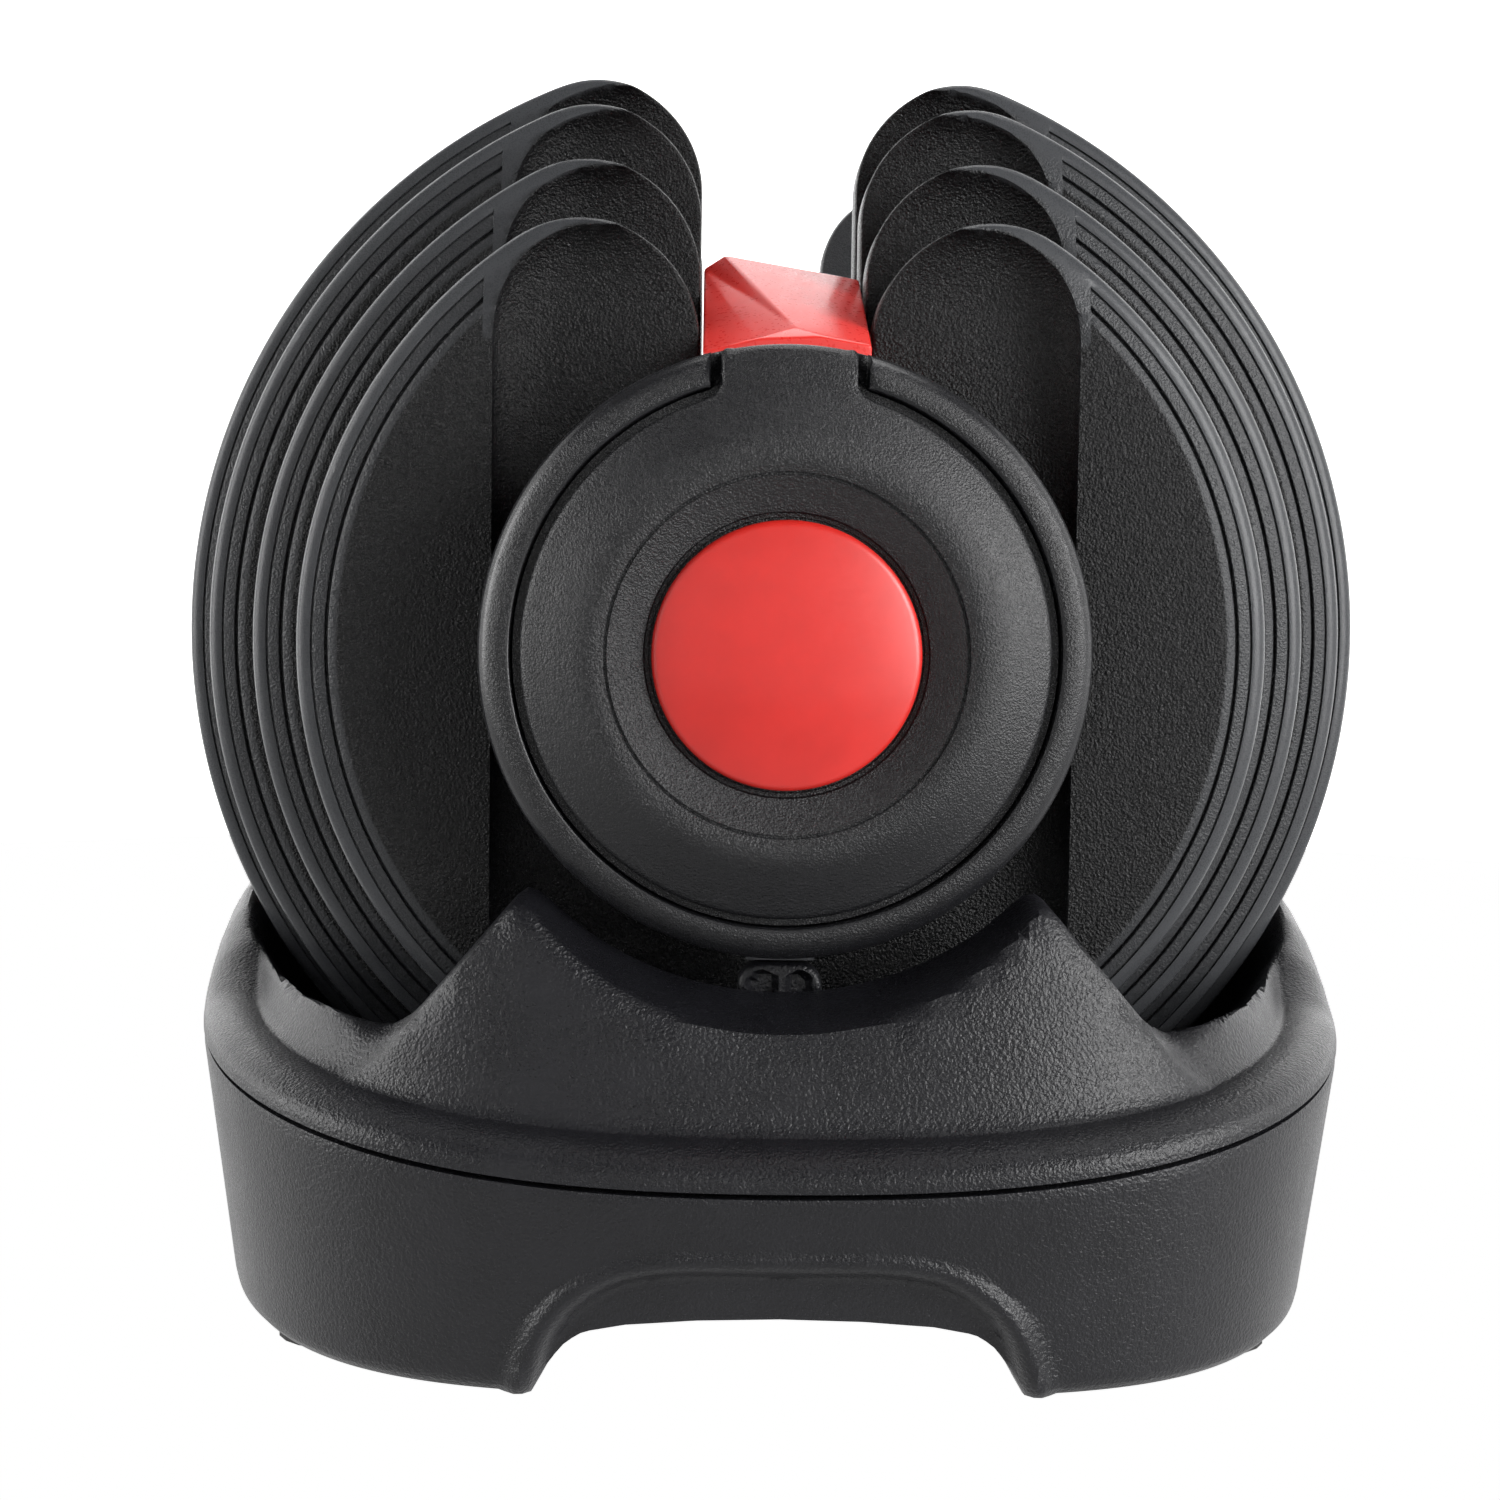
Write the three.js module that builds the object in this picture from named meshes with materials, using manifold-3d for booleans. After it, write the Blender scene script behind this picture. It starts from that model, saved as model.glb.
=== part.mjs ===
// Adjustable dumbbell in its cradle. Millimetres, +Z up.
// The origin is on the floor under the middle of the cradle. The handle lies along Y, front end towards -Y.
import * as THREE from 'three';
import { mergeVertices } from 'three/addons/utils/BufferGeometryUtils.js';
import Module from 'manifold-3d';

const wasm = await Module();
wasm.setup();

// ---------------------------------------------------------------- driving dimensions
const AXIS_Z = 106;                              // height of the handle axis above the floor
const GAP = 0.3;                                 // space left between pieces that touch

const PLATE_RADII = [73.3, 82.8, 92.8, 99.2];    // outermost plate first
const PLATE_PITCH = 18;
const PLATE_THICK = 17;
const STACK_END = 133.5;                         // |y| of the outermost plate's outer face
const SLOT_HALF = 13.0;                          // half width of the plates' U-slot
const HORN_RADIUS = 18.0;                        // rounding of the two horns beside the slot
const RIM_WIDTH = 6;                             // sloping rim of the outer face
const RIM_DROP = 2.4;
const CHANNEL_HALF = 43.7;                       // half width of the channel across the outer face
const CHANNEL_FLOOR_HALF = 34.0;
const CHANNEL_DEPTH = 5.5;
const LUG = { half: 7.6, near: 20.5, far: 26.5, depth: 2.5 };   // below the axis, on the channel's floor

const ROD_RADIUS = 6;
const ROD_END = 149;
const TUBE_RADIUS = 9;
const TUBE_END = 142.8;
const GRIP = { end: 51.5, ends: 15.2, middle: 16.8 };
const GUARD = { near: 54, far: 61.5, radius: 40 };
const DISC = { radius: 30, flange: 27, hub: 12.3, web: 1.8, lift: 3.1, floorGap: 0.6 };
const SETTINGS = 5;
const SETTING_STEP = Math.PI / 5;                // turn between two weight settings
const LUG_REACH = Math.PI / 12;                  // half the turn over which a flange stays under a lug

const BAR = { half: 7, low: 32, high: 37 };      // spine bar, heights above the axis
const KEY = { half: 11.9, low: 31.6, near: 46.5, far: 62, start: 62.2, peak: 98, end: 135.4 };

const CAP = { back: 136, ring: 150.5, radius: 44.1, inner: 39.3, notchHalf: 11.4, wall: 1.6 };
const FACE = { radius: 38, crest: 28, crestY: 156, dishY: 153.4, tabHalf: 10, tabTop: 43.8, thick: 3 };
const BADGE = { radius: 19.3, front: 157.6 };
const BRACKET = { near: 143.2, far: 145.2 };
const WHEEL = { radius: 16, root: 11.6, near: 139.2, far: 141.8 };
const SLIDER = { near: 139, far: 142, half: 20.5, window: 16.8, low: -24, high: 25, foot: 5, tip: 16.7 };
const SLIDER_FOOT_Z = -45.5;                     // height of the slider's foot, from the axis

const TRAY = { halfWidth: 97.5, halfLength: 170, power: 3.45, floor: 1.5, draft: 5.5, wall: 3 };
const SEAM = { low: 32.5, rise: 14.5, power: 2.2 };
const SHOULDER = { end: 8.5, side: 6.5, flat: 92, fall: 58 };
const ROLL = { width: 9, steps: 2 };
const POCKET = { clear: 2.5, skin: 2.5, split: 36 };   // split: height where the liners meet the cover
const BAY = { halfLength: 53, halfWidth: 76, floor: 40, flare: 9 };
const BLOCK = { near: 138, ridge: 155, foot: 167, inset: 7, peakX: 37, arc: 50.5, footX: 57, footZ: 52 };
const WELL = { half: 9, near: 137.9, far: 143.4, floor: 48 };
const POST = { half: 6.2, near: 138.4, far: 143.1 };
const ARCH = { half: 38, foot: 45, height: 12, lip: 5, top: 21, proud: 1.6 };
const FOOT = { x: 66, y: 128, radius: 10 };
const SCREW = { x: 79, y: 88, head: 4.2, shank: 1.9, top: 21, boss: 6.8, seat: 4.6, bossTop: 9 };

const SIDES = [{ name: 'front', dir: -1 }, { name: 'rear', dir: 1 }];

// ---------------------------------------------------------------- materials
const plastic = (color, roughness) => new THREE.MeshStandardMaterial({ color, roughness, metalness: 0 });
const metal = (color, roughness) => new THREE.MeshStandardMaterial({ color, roughness, metalness: 1 });

const MATERIAL = {
  tray: plastic(0x2b2c2f, 0.62),
  plate: plastic(0x242528, 0.55),
  cap: plastic(0x1e1f21, 0.5),
  red: plastic(0xd8261d, 0.28),
  steel: metal(0x9a9ea3, 0.35),
  selector: plastic(0x3a3c40, 0.5),
  grip: metal(0x7d8085, 0.42),
  rubber: plastic(0x141414, 0.85),
};

// ---------------------------------------------------------------- solids
// A closed geometry as a solid, with its faces turned outwards.
function solid(geometry) {
  geometry.deleteAttribute('normal');
  geometry.deleteAttribute('uv');
  const merged = mergeVertices(geometry, 1e-4);
  const vertProperties = new Float32Array(merged.attributes.position.array);
  const triVerts = new Uint32Array(merged.index.array);
  if (signedVolume(vertProperties, triVerts) < 0) flip(triVerts);
  return new wasm.Manifold(new wasm.Mesh({ numProp: 3, vertProperties, triVerts }));
}

function signedVolume(points, triangles) {
  const corner = (i) => new THREE.Vector3().fromArray(points, 3 * triangles[i]);
  let volume = 0;
  for (let i = 0; i < triangles.length; i += 3) {
    volume += corner(i).dot(corner(i + 1).cross(corner(i + 2))) / 6;
  }
  return volume;
}

function flip(triangles) {
  for (let i = 0; i < triangles.length; i += 3) {
    [triangles[i], triangles[i + 1]] = [triangles[i + 1], triangles[i]];
  }
}

const join = (...parts) => parts.reduce((a, b) => a.add(b));
const cut = (body, ...tools) => tools.reduce((a, b) => a.subtract(b), body);

// A box from its lowest to its highest corner.
function box(low, high) {
  const size = high.map((v, i) => v - low[i]);
  const geometry = new THREE.BoxGeometry(...size);
  geometry.translate(...low.map((v, i) => v + size[i] / 2));
  return solid(geometry);
}

// A box on one end of the object: y values are distances from the middle.
function endBox(side, halfX, nearY, farY, lowZ, highZ) {
  const ys = [side.dir * nearY, side.dir * farY].sort((a, b) => a - b);
  return box([-halfX, ys[0], lowZ], [halfX, ys[1], highZ]);
}

// An outline drawn in X and Z, pushed along Y between two values.
function prismY(shape, fromY, toY, curveSegments = 12) {
  const low = Math.min(fromY, toY);
  const depth = Math.abs(toY - fromY);
  const geometry = new THREE.ExtrudeGeometry(shape, { depth, bevelEnabled: false, curveSegments });
  geometry.rotateX(Math.PI / 2);
  geometry.translate(0, low + depth, 0);
  return solid(geometry);
}

// An outline drawn in Y and Z, pushed along X between -half and +half.
function prismX(points, half) {
  const shape = new THREE.Shape(points.map(([y, z]) => new THREE.Vector2(y, z)));
  const geometry = new THREE.ExtrudeGeometry(shape, { depth: 2 * half, bevelEnabled: false });
  geometry.rotateX(Math.PI / 2);
  geometry.rotateZ(Math.PI / 2);
  geometry.translate(-half, 0, 0);
  return solid(geometry);
}

// A closed profile of [radius, y] turned about the handle axis.
function turned(profile, segments = 44) {
  const points = profile.map(([r, y]) => new THREE.Vector2(r, y));
  points.push(points[0].clone());
  const geometry = new THREE.LatheGeometry(points, segments);
  geometry.translate(0, 0, AXIS_Z);
  return solid(geometry);
}

const turnedAt = (side, profile, segments) => turned(profile.map(([r, y]) => [r, side.dir * y]), segments);

function cylinderY(radius, nearY, farY, segments = 44) {
  const geometry = new THREE.CylinderGeometry(radius, radius, Math.abs(farY - nearY), segments);
  geometry.translate(0, (nearY + farY) / 2, AXIS_Z);
  return solid(geometry);
}

const cylinderAt = (side, radius, near, far, segments) =>
  cylinderY(radius, side.dir * near, side.dir * far, segments);

const tubeAt = (side, inner, outer, near, far, segments) =>
  turnedAt(side, [[inner, near], [outer, near], [outer, far], [inner, far]], segments);

// ---------------------------------------------------------------- scene graph
const dumbbell = new THREE.Group();

function addPart(name, body, material) {
  const mesh = body.getMesh();
  const geometry = new THREE.BufferGeometry();
  geometry.setAttribute('position', new THREE.BufferAttribute(new Float32Array(mesh.vertProperties), 3));
  geometry.setIndex(new THREE.BufferAttribute(new Uint32Array(mesh.triVerts), 1));
  geometry.computeVertexNormals();
  const part = new THREE.Mesh(geometry, material);
  part.name = name;
  dumbbell.add(part);
}

// ---------------------------------------------------------------- weight plates
const plateOuterY = (index) => STACK_END - index * PLATE_PITCH;

// The open U-slot and the two rounded horns. Past the horns the outline runs outside the plate's edge.
function plateOutline(radius) {
  const hornX = SLOT_HALF + HORN_RADIUS;
  const hornZ = Math.sqrt((radius - HORN_RADIUS) ** 2 - hornX ** 2);
  const turn = Math.atan2(hornZ, hornX);
  const shape = new THREE.Shape();
  shape.moveTo(SLOT_HALF, AXIS_Z);
  shape.absarc(hornX, AXIS_Z + hornZ, HORN_RADIUS, Math.PI, turn, true);
  shape.lineTo(2 * radius * Math.cos(turn), AXIS_Z + 2 * radius * Math.sin(turn));
  shape.lineTo(2 * radius, AXIS_Z - 2 * radius);
  shape.lineTo(-2 * radius, AXIS_Z - 2 * radius);
  shape.lineTo(-2 * radius * Math.cos(turn), AXIS_Z + 2 * radius * Math.sin(turn));
  shape.absarc(-hornX, AXIS_Z + hornZ, HORN_RADIUS, Math.PI - turn, 0, true);
  shape.absarc(0, AXIS_Z, SLOT_HALF, Math.PI, 2 * Math.PI, false);
  return shape;
}

function plateChannel(side, outerY) {
  const shape = new THREE.Shape();
  const reach = 120;
  const top = outerY + 1;
  const floor = outerY - CHANNEL_DEPTH;
  const slope = (CHANNEL_HALF - CHANNEL_FLOOR_HALF) / CHANNEL_DEPTH;
  const half = CHANNEL_HALF + slope;
  shape.moveTo(-half, side.dir * top);
  shape.lineTo(-CHANNEL_FLOOR_HALF, side.dir * floor);
  shape.lineTo(CHANNEL_FLOOR_HALF, side.dir * floor);
  shape.lineTo(half, side.dir * top);
  const geometry = new THREE.ExtrudeGeometry(shape, { depth: 2 * reach, bevelEnabled: false });
  geometry.translate(0, 0, AXIS_Z - reach);
  return solid(geometry);
}

// The lug that hangs over the selector disc's flange.
function plateLug(side, outerY) {
  const floor = outerY - CHANNEL_DEPTH;
  const lug = endBox(side, LUG.half, floor - 1, floor + LUG.depth, AXIS_Z - LUG.far, AXIS_Z - LUG.near);
  return lug.intersect(cylinderAt(side, LUG.far, floor - 2, floor + LUG.depth + 1, 32));
}

function plate(side, index) {
  const radius = PLATE_RADII[index];
  const outerY = plateOuterY(index);
  const innerY = outerY - PLATE_THICK;
  const blank = turnedAt(side, [
    [0, innerY], [radius, innerY], [radius, outerY - RIM_DROP - 1],
    [radius - RIM_WIDTH, outerY], [0, outerY],
  ], 44);
  const outline = prismY(plateOutline(radius), side.dir * (innerY - 1), side.dir * (outerY + 1), 5);
  return join(cut(blank.intersect(outline), plateChannel(side, outerY)), plateLug(side, outerY));
}

for (const side of SIDES) {
  PLATE_RADII.forEach((_, i) => addPart(`plate_${side.name}_${i + 1}`, plate(side, i), MATERIAL.plate));
}

// ---------------------------------------------------------------- handle frame
addPart('centre_rod', cylinderY(ROD_RADIUS, -ROD_END, ROD_END, 24), MATERIAL.steel);

function innerGuard(side) {
  const edge = 2;
  const disc = turnedAt(side, [
    [TUBE_RADIUS + GAP, GUARD.near], [GUARD.radius - 5, GUARD.near], [GUARD.radius, GUARD.near + 2.5],
    [GUARD.radius, GUARD.far - edge], [GUARD.radius - edge, GUARD.far], [TUBE_RADIUS + GAP, GUARD.far],
  ], 32);
  const barHole = endBox(side, BAR.half + GAP, GUARD.near + 2, GUARD.far + 1,
    AXIS_Z + BAR.low - GAP, AXIS_Z + BAR.high + GAP);
  return cut(disc, barHole);
}

function spineBar(side) {
  return endBox(side, BAR.half, GUARD.near + 2.3, BRACKET.near - GAP, AXIS_Z + BAR.low, AXIS_Z + BAR.high);
}

// The red key: a block with facets that rise from the cap towards the grip, hollow over the spine bar.
function slotKey(side) {
  const y = (value) => side.dir * value;
  const low = AXIS_Z + KEY.low;
  const block = prismX([
    [y(KEY.start), low], [y(KEY.end), low], [y(KEY.end), AXIS_Z + KEY.near],
    [y(KEY.peak), AXIS_Z + KEY.far], [y(KEY.start), AXIS_Z + KEY.far - 4],
  ], KEY.half);
  const roof = new THREE.Shape();
  const ridge = 6;
  roof.moveTo(-KEY.half, low - 1);
  roof.lineTo(KEY.half, low - 1);
  roof.lineTo(KEY.half, AXIS_Z + KEY.near - 4);
  roof.lineTo(ridge, AXIS_Z + KEY.far + 1);
  roof.lineTo(-ridge, AXIS_Z + KEY.far + 1);
  roof.lineTo(-KEY.half, AXIS_Z + KEY.near - 4);
  const facets = prismY(roof, y(KEY.start - 1), y(KEY.end + 1));
  const barSpace = endBox(side, BAR.half + GAP, KEY.start - 1, KEY.end + 1,
    AXIS_Z + KEY.low - 1, AXIS_Z + BAR.high + GAP);
  return cut(block.intersect(facets), barSpace);
}

function endBracket(side) {
  const plateBody = endBox(side, 10.5, BRACKET.near, BRACKET.far, AXIS_Z - 10.5, AXIS_Z + BAR.high);
  return cut(plateBody, cylinderAt(side, ROD_RADIUS + GAP, BRACKET.near - 1, BRACKET.far + 1, 20));
}

function rodNut(side) {
  const hexagon = cylinderAt(side, 9.5, BRACKET.far + GAP, ROD_END, 6);
  return cut(hexagon, cylinderAt(side, ROD_RADIUS + GAP, BRACKET.far, ROD_END + 1, 20));
}

// The drum behind the cap's face, with its bevelled front ring.
function capRing(side) {
  const wallRadius = CAP.radius - 2.4;
  const drum = turnedAt(side, [
    [TUBE_RADIUS + GAP + 0.1, CAP.back], [wallRadius - 2, CAP.back], [wallRadius, CAP.back + 2],
    [CAP.radius, CAP.ring - 4], [CAP.radius - 3, CAP.ring], [CAP.inner, CAP.ring - 0.8],
    [CAP.inner, CAP.back + CAP.wall], [TUBE_RADIUS + GAP + 0.1, CAP.back + CAP.wall],
  ], 36);
  const notch = endBox(side, CAP.notchHalf, CAP.ring - 4.6, CAP.ring + 1, AXIS_Z + 34, AXIS_Z + 50);
  const barHole = endBox(side, BAR.half + GAP, CAP.back - 1, CAP.back + 4,
    AXIS_Z + BAR.low - GAP, AXIS_Z + BAR.high + GAP);
  const footSlot = endBox(
    side, SLIDER.foot + 0.8, SLIDER.near - 0.6, SLIDER.far + 0.6, AXIS_Z - 50, AXIS_Z - 30,
  );
  return cut(drum, notch, barHole, footSlot);
}

function capDisc(side) {
  const seat = FACE.dishY - 1.2;
  const disc = turnedAt(side, [
    [0, FACE.dishY - FACE.thick], [BADGE.radius + 2, FACE.dishY - FACE.thick],
    [FACE.crest, FACE.crestY - FACE.thick], [FACE.radius, CAP.ring - FACE.thick - 0.5],
    [FACE.radius, CAP.ring - 0.4], [FACE.crest, FACE.crestY], [BADGE.radius + GAP, FACE.dishY],
    [BADGE.radius + GAP, seat], [0, seat],
  ], 36);
  const tab = endBox(side, FACE.tabHalf, CAP.ring - 3.4, CAP.ring - 0.2, AXIS_Z + 33, AXIS_Z + FACE.tabTop);
  return join(disc, tab);
}

function badge(side) {
  return turnedAt(side, [
    [0, FACE.dishY - 1.2 + GAP], [BADGE.radius, FACE.dishY - 1.2 + GAP], [BADGE.radius, FACE.dishY + 1.4],
    [BADGE.radius - 1.4, FACE.dishY + 2.6], [BADGE.radius * 0.6, BADGE.front - 0.5], [0, BADGE.front],
  ], 24);
}

for (const side of SIDES) {
  addPart(`inner_guard_${side.name}`, innerGuard(side), MATERIAL.cap);
  addPart(`spine_bar_${side.name}`, spineBar(side), MATERIAL.steel);
  addPart(`slot_key_${side.name}`, slotKey(side), MATERIAL.red);
  addPart(`end_bracket_${side.name}`, endBracket(side), MATERIAL.steel);
  addPart(`rod_nut_${side.name}`, rodNut(side), MATERIAL.steel);
  addPart(`cap_ring_${side.name}`, capRing(side), MATERIAL.cap);
  addPart(`cap_disc_${side.name}`, capDisc(side), MATERIAL.cap);
  addPart(`badge_${side.name}`, badge(side), MATERIAL.red);
}

// ---------------------------------------------------------------- selector
function selectorTube() {
  const inner = ROD_RADIUS + GAP;
  const outer = TUBE_RADIUS;
  return turned([[inner, -TUBE_END], [outer, -TUBE_END], [outer, TUBE_END], [inner, TUBE_END]], 24);
}

function gripSleeve() {
  const inner = TUBE_RADIUS + GAP;
  return turned([
    [inner, -GRIP.end], [GRIP.ends + 2, -GRIP.end],
    [GRIP.ends + 2, -GRIP.end + 3], [GRIP.ends, -GRIP.end + 4],
    [GRIP.middle, -12], [GRIP.middle, 12],
    [GRIP.ends, GRIP.end - 4], [GRIP.ends + 2, GRIP.end - 3], [GRIP.ends + 2, GRIP.end], [inner, GRIP.end],
  ], 24);
}

// A wedge of a disc between two angles, measured from straight up towards +X.
function wedge(side, from, to, radius, nearY, farY) {
  const shape = new THREE.Shape();
  shape.moveTo(0, AXIS_Z);
  shape.absarc(0, AXIS_Z, radius, Math.PI / 2 - from, Math.PI / 2 - to, true);
  return prismY(shape, side.dir * nearY, side.dir * farY, 10);
}

// A web in front of the plate's lug, and a flange that reaches back under it. The outermost plate is let go
// first, so its flange is the shortest, and each next one is longer by a setting.
function selectorDisc(side, index) {
  const floor = plateOuterY(index) - CHANNEL_DEPTH;
  const top = floor + DISC.lift + DISC.web;
  const hub = cylinderAt(side, DISC.hub, floor - 2, top, 20);
  const web = cylinderAt(side, DISC.radius, floor + DISC.lift, top, 32);
  const rim = tubeAt(side, DISC.flange, DISC.radius, floor + DISC.floorGap, top, 32);
  const from = Math.PI - LUG_REACH;
  const to = Math.PI + LUG_REACH + index * SETTING_STEP;
  const flange = rim.intersect(wedge(side, from, to, 2 * DISC.radius, floor, top + 1));
  return cut(join(hub, web, flange), cylinderAt(side, TUBE_RADIUS + GAP, floor - 3, top + 1, 24));
}

// One notch for each weight setting.
function detentWheel(side) {
  const wheel = tubeAt(side, TUBE_RADIUS + GAP, WHEEL.radius, WHEEL.near, WHEEL.far, 30);
  const notches = Array.from({ length: SETTINGS }, (_, i) => {
    const notch = endBox(side, 2.7, WHEEL.near - 1, WHEEL.far + 1, WHEEL.root, WHEEL.radius + 2);
    return notch.rotate([0, THREE.MathUtils.radToDeg(i * SETTING_STEP), 0]).translate([0, 0, AXIS_Z]);
  });
  return cut(wheel, ...notches);
}

addPart('selector_tube', selectorTube(), MATERIAL.steel);
addPart('grip_sleeve', gripSleeve(), MATERIAL.grip);
for (const side of SIDES) {
  PLATE_RADII.forEach((_, i) => {
    addPart(`selector_disc_${side.name}_${i + 1}`, selectorDisc(side, i), MATERIAL.selector);
  });
  addPart(`detent_wheel_${side.name}`, detentWheel(side), MATERIAL.steel);
}

// ---------------------------------------------------------------- lock
// A yoke round the detent wheel. The cradle's post lifts it, and its tooth drops into a notch when free.
function lockSlider(side) {
  const { near, far } = SLIDER;
  const yoke = endBox(side, SLIDER.half, near, far, AXIS_Z + SLIDER.low, AXIS_Z + SLIDER.high);
  const window = endBox(side, SLIDER.window, near - 1, far + 1, AXIS_Z - 17, AXIS_Z + 21.2);
  const tooth = endBox(side, 1.9, near, far, AXIS_Z + SLIDER.tip, AXIS_Z + 23);
  const foot = endBox(side, SLIDER.foot, near, far, AXIS_Z + SLIDER_FOOT_Z, AXIS_Z + SLIDER.low + 2);
  return join(cut(yoke, window), tooth, foot);
}

class Coil extends THREE.Curve {
  constructor(centreY, low, high, radius, turns) {
    super();
    Object.assign(this, { centreY, low, high, radius, turns });
  }
  getPoint(t, target = new THREE.Vector3()) {
    const angle = t * this.turns * 2 * Math.PI;
    const z = this.low + t * (this.high - this.low);
    return target.set(this.radius * Math.cos(angle), this.centreY + this.radius * Math.sin(angle), z);
  }
}

function lockSpring(side) {
  const wire = 0.4;
  const low = AXIS_Z + SLIDER.high + wire + 0.35;
  const high = AXIS_Z + BAR.low - wire - 0.35;
  const path = new Coil(side.dir * 140.5, low, high, 2, 4);
  const section = new THREE.Shape().absarc(0, 0, wire, 0, 2 * Math.PI);
  const options = { steps: 32, extrudePath: path, curveSegments: 2, bevelEnabled: false };
  return solid(new THREE.ExtrudeGeometry(section, options));
}

for (const side of SIDES) {
  addPart(`lock_slider_${side.name}`, lockSlider(side), MATERIAL.selector);
  addPart(`lock_spring_${side.name}`, lockSpring(side), MATERIAL.steel);
}

// ---------------------------------------------------------------- cradle
// A point of the superellipse plan, pulled in by inset.
function planPoint(angle, inset) {
  const power = 2 / TRAY.power;
  const c = Math.cos(angle);
  const s = Math.sin(angle);
  return [
    (TRAY.halfWidth - inset) * Math.sign(c) * Math.abs(c) ** power,
    (TRAY.halfLength - inset) * Math.sign(s) * Math.abs(s) ** power,
  ];
}

const seamHeight = (x) => SEAM.low + SEAM.rise * Math.min(1, Math.abs(x) / TRAY.halfWidth) ** SEAM.power;

// Rise of the cover's top above the seam, before blocks and pockets: low at the ends, high at the sides.
function coverRise(y) {
  const t = THREE.MathUtils.clamp((Math.abs(y) - SHOULDER.flat) / SHOULDER.fall, 0, 1);
  const fall = 0.5 + 0.5 * Math.cos(Math.PI * t);
  return SHOULDER.end + SHOULDER.side * fall;
}

// A closed body of plan-shaped rings { inset, z }, with its first and last ring filled in. A ring's height
// comes from the x and y of the cradle's edge beside it.
function ringBody(rings, segments = 44) {
  const positions = [];
  const triangles = [];
  for (const ring of rings) {
    for (let i = 0; i < segments; i += 1) {
      const angle = (2 * Math.PI * i) / segments;
      positions.push(...planPoint(angle, ring.inset), ring.z(...planPoint(angle, 0)));
    }
  }
  for (let r = 0; r + 1 < rings.length; r += 1) {
    for (let i = 0; i < segments; i += 1) {
      const a = r * segments + i;
      const b = r * segments + ((i + 1) % segments);
      triangles.push(a, b, b + segments, a, b + segments, a + segments);
    }
  }
  fillRing(positions, triangles, rings[0], 0, segments);
  fillRing(positions, triangles, rings[rings.length - 1], rings.length - 1, segments);
  const geometry = new THREE.BufferGeometry();
  geometry.setAttribute('position', new THREE.Float32BufferAttribute(positions, 3));
  geometry.setIndex(triangles);
  return solid(geometry);
}

// Close a ring across the body with ladder strips between its two long sides.
function fillRing(positions, triangles, ring, row, segments) {
  const start = row * segments;
  const last = row > 0;
  const add = (a, b, c) => (last ? triangles.push(a, b, c) : triangles.push(a, c, b));
  const half = segments / 2;
  const quarter = segments / 4;
  const right = (i) => start + ((i + segments - quarter) % segments);
  const left = (i) => start + ((segments - i + segments - quarter) % segments);
  for (let i = 0; i < half; i += 1) {
    if (i > 0) add(left(i), right(i), right(i + 1));
    if (i + 1 < half) add(left(i), right(i + 1), left(i + 1));
  }
}

const baseInset = (z) => (TRAY.draft * (45 - z)) / 45;

function trayWall(inset, bottom, topGap) {
  const ring = (z) => ({ inset: inset + baseInset(z), z: () => z });
  const top = (x) => seamHeight(x) - topGap;
  return ringBody([ring(bottom), ring(18), { inset, z: top }, { inset: inset + 5, z: top }]);
}

function archOutline(grow, height) {
  const shape = new THREE.Shape();
  shape.moveTo(-ARCH.foot - grow, -2);
  shape.lineTo(ARCH.foot + grow, -2);
  shape.lineTo(ARCH.half + grow * 0.7, height - 5);
  shape.quadraticCurveTo(ARCH.half + grow * 0.4, height, ARCH.half - 8, height);
  shape.lineTo(-ARCH.half + 8, height);
  shape.quadraticCurveTo(-ARCH.half - grow * 0.4, height, -ARCH.half - grow * 0.7, height - 5);
  return shape;
}

function trayBase() {
  const shell = cut(trayWall(0, TRAY.floor, 0), trayWall(TRAY.wall, TRAY.floor + 2.5, -8));
  const window = box([-70, -118, -1], [70, 118, 10]);
  const proudWall = cut(trayWall(-ARCH.proud, TRAY.floor, 4), trayWall(TRAY.wall - 0.5, -2, -8));
  const lips = SIDES.map((side) => {
    const outer = prismY(archOutline(ARCH.lip, ARCH.top), side.dir * 120, side.dir * 180, 2);
    const inner = prismY(archOutline(0, ARCH.top - ARCH.lip), side.dir * 119, side.dir * 181, 2);
    return cut(outer, inner).intersect(proudWall);
  });
  const openings = SIDES.map((side) =>
    prismY(archOutline(-1, ARCH.height), side.dir * 119, side.dir * 181, 2));
  const footSpaces = corners(FOOT).map(([x, y]) => disc(x, y, FOOT.radius + GAP, -1, TRAY.floor + 1));
  const bosses = corners(SCREW).map(([x, y]) => disc(x, y, SCREW.boss, TRAY.floor + 1, SCREW.bossTop));
  const screwHoles = corners(SCREW).map(([x, y]) => screwSpace(x, y, GAP, TRAY.floor - 1));
  return cut(join(shell, ...lips, ...bosses), window, ...openings, ...footSpaces, ...screwHoles);
}

// The room for a cover screw: its head from low up to the seat, and its shank above.
function screwSpace(x, y, grow, low) {
  const head = disc(x, y, SCREW.head + grow, low, SCREW.seat + grow, 12);
  return join(head, disc(x, y, SCREW.shank + grow, SCREW.seat - 1, SCREW.top + grow, 8));
}

const corners = ({ x, y }) => [[-x, -y], [x, -y], [-x, y], [x, y]];

function disc(x, y, radius, low, high, segments = 20) {
  const geometry = new THREE.CylinderGeometry(radius, radius, high - low, segments);
  geometry.rotateX(Math.PI / 2);
  geometry.translate(x, y, (low + high) / 2);
  return solid(geometry);
}

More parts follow.
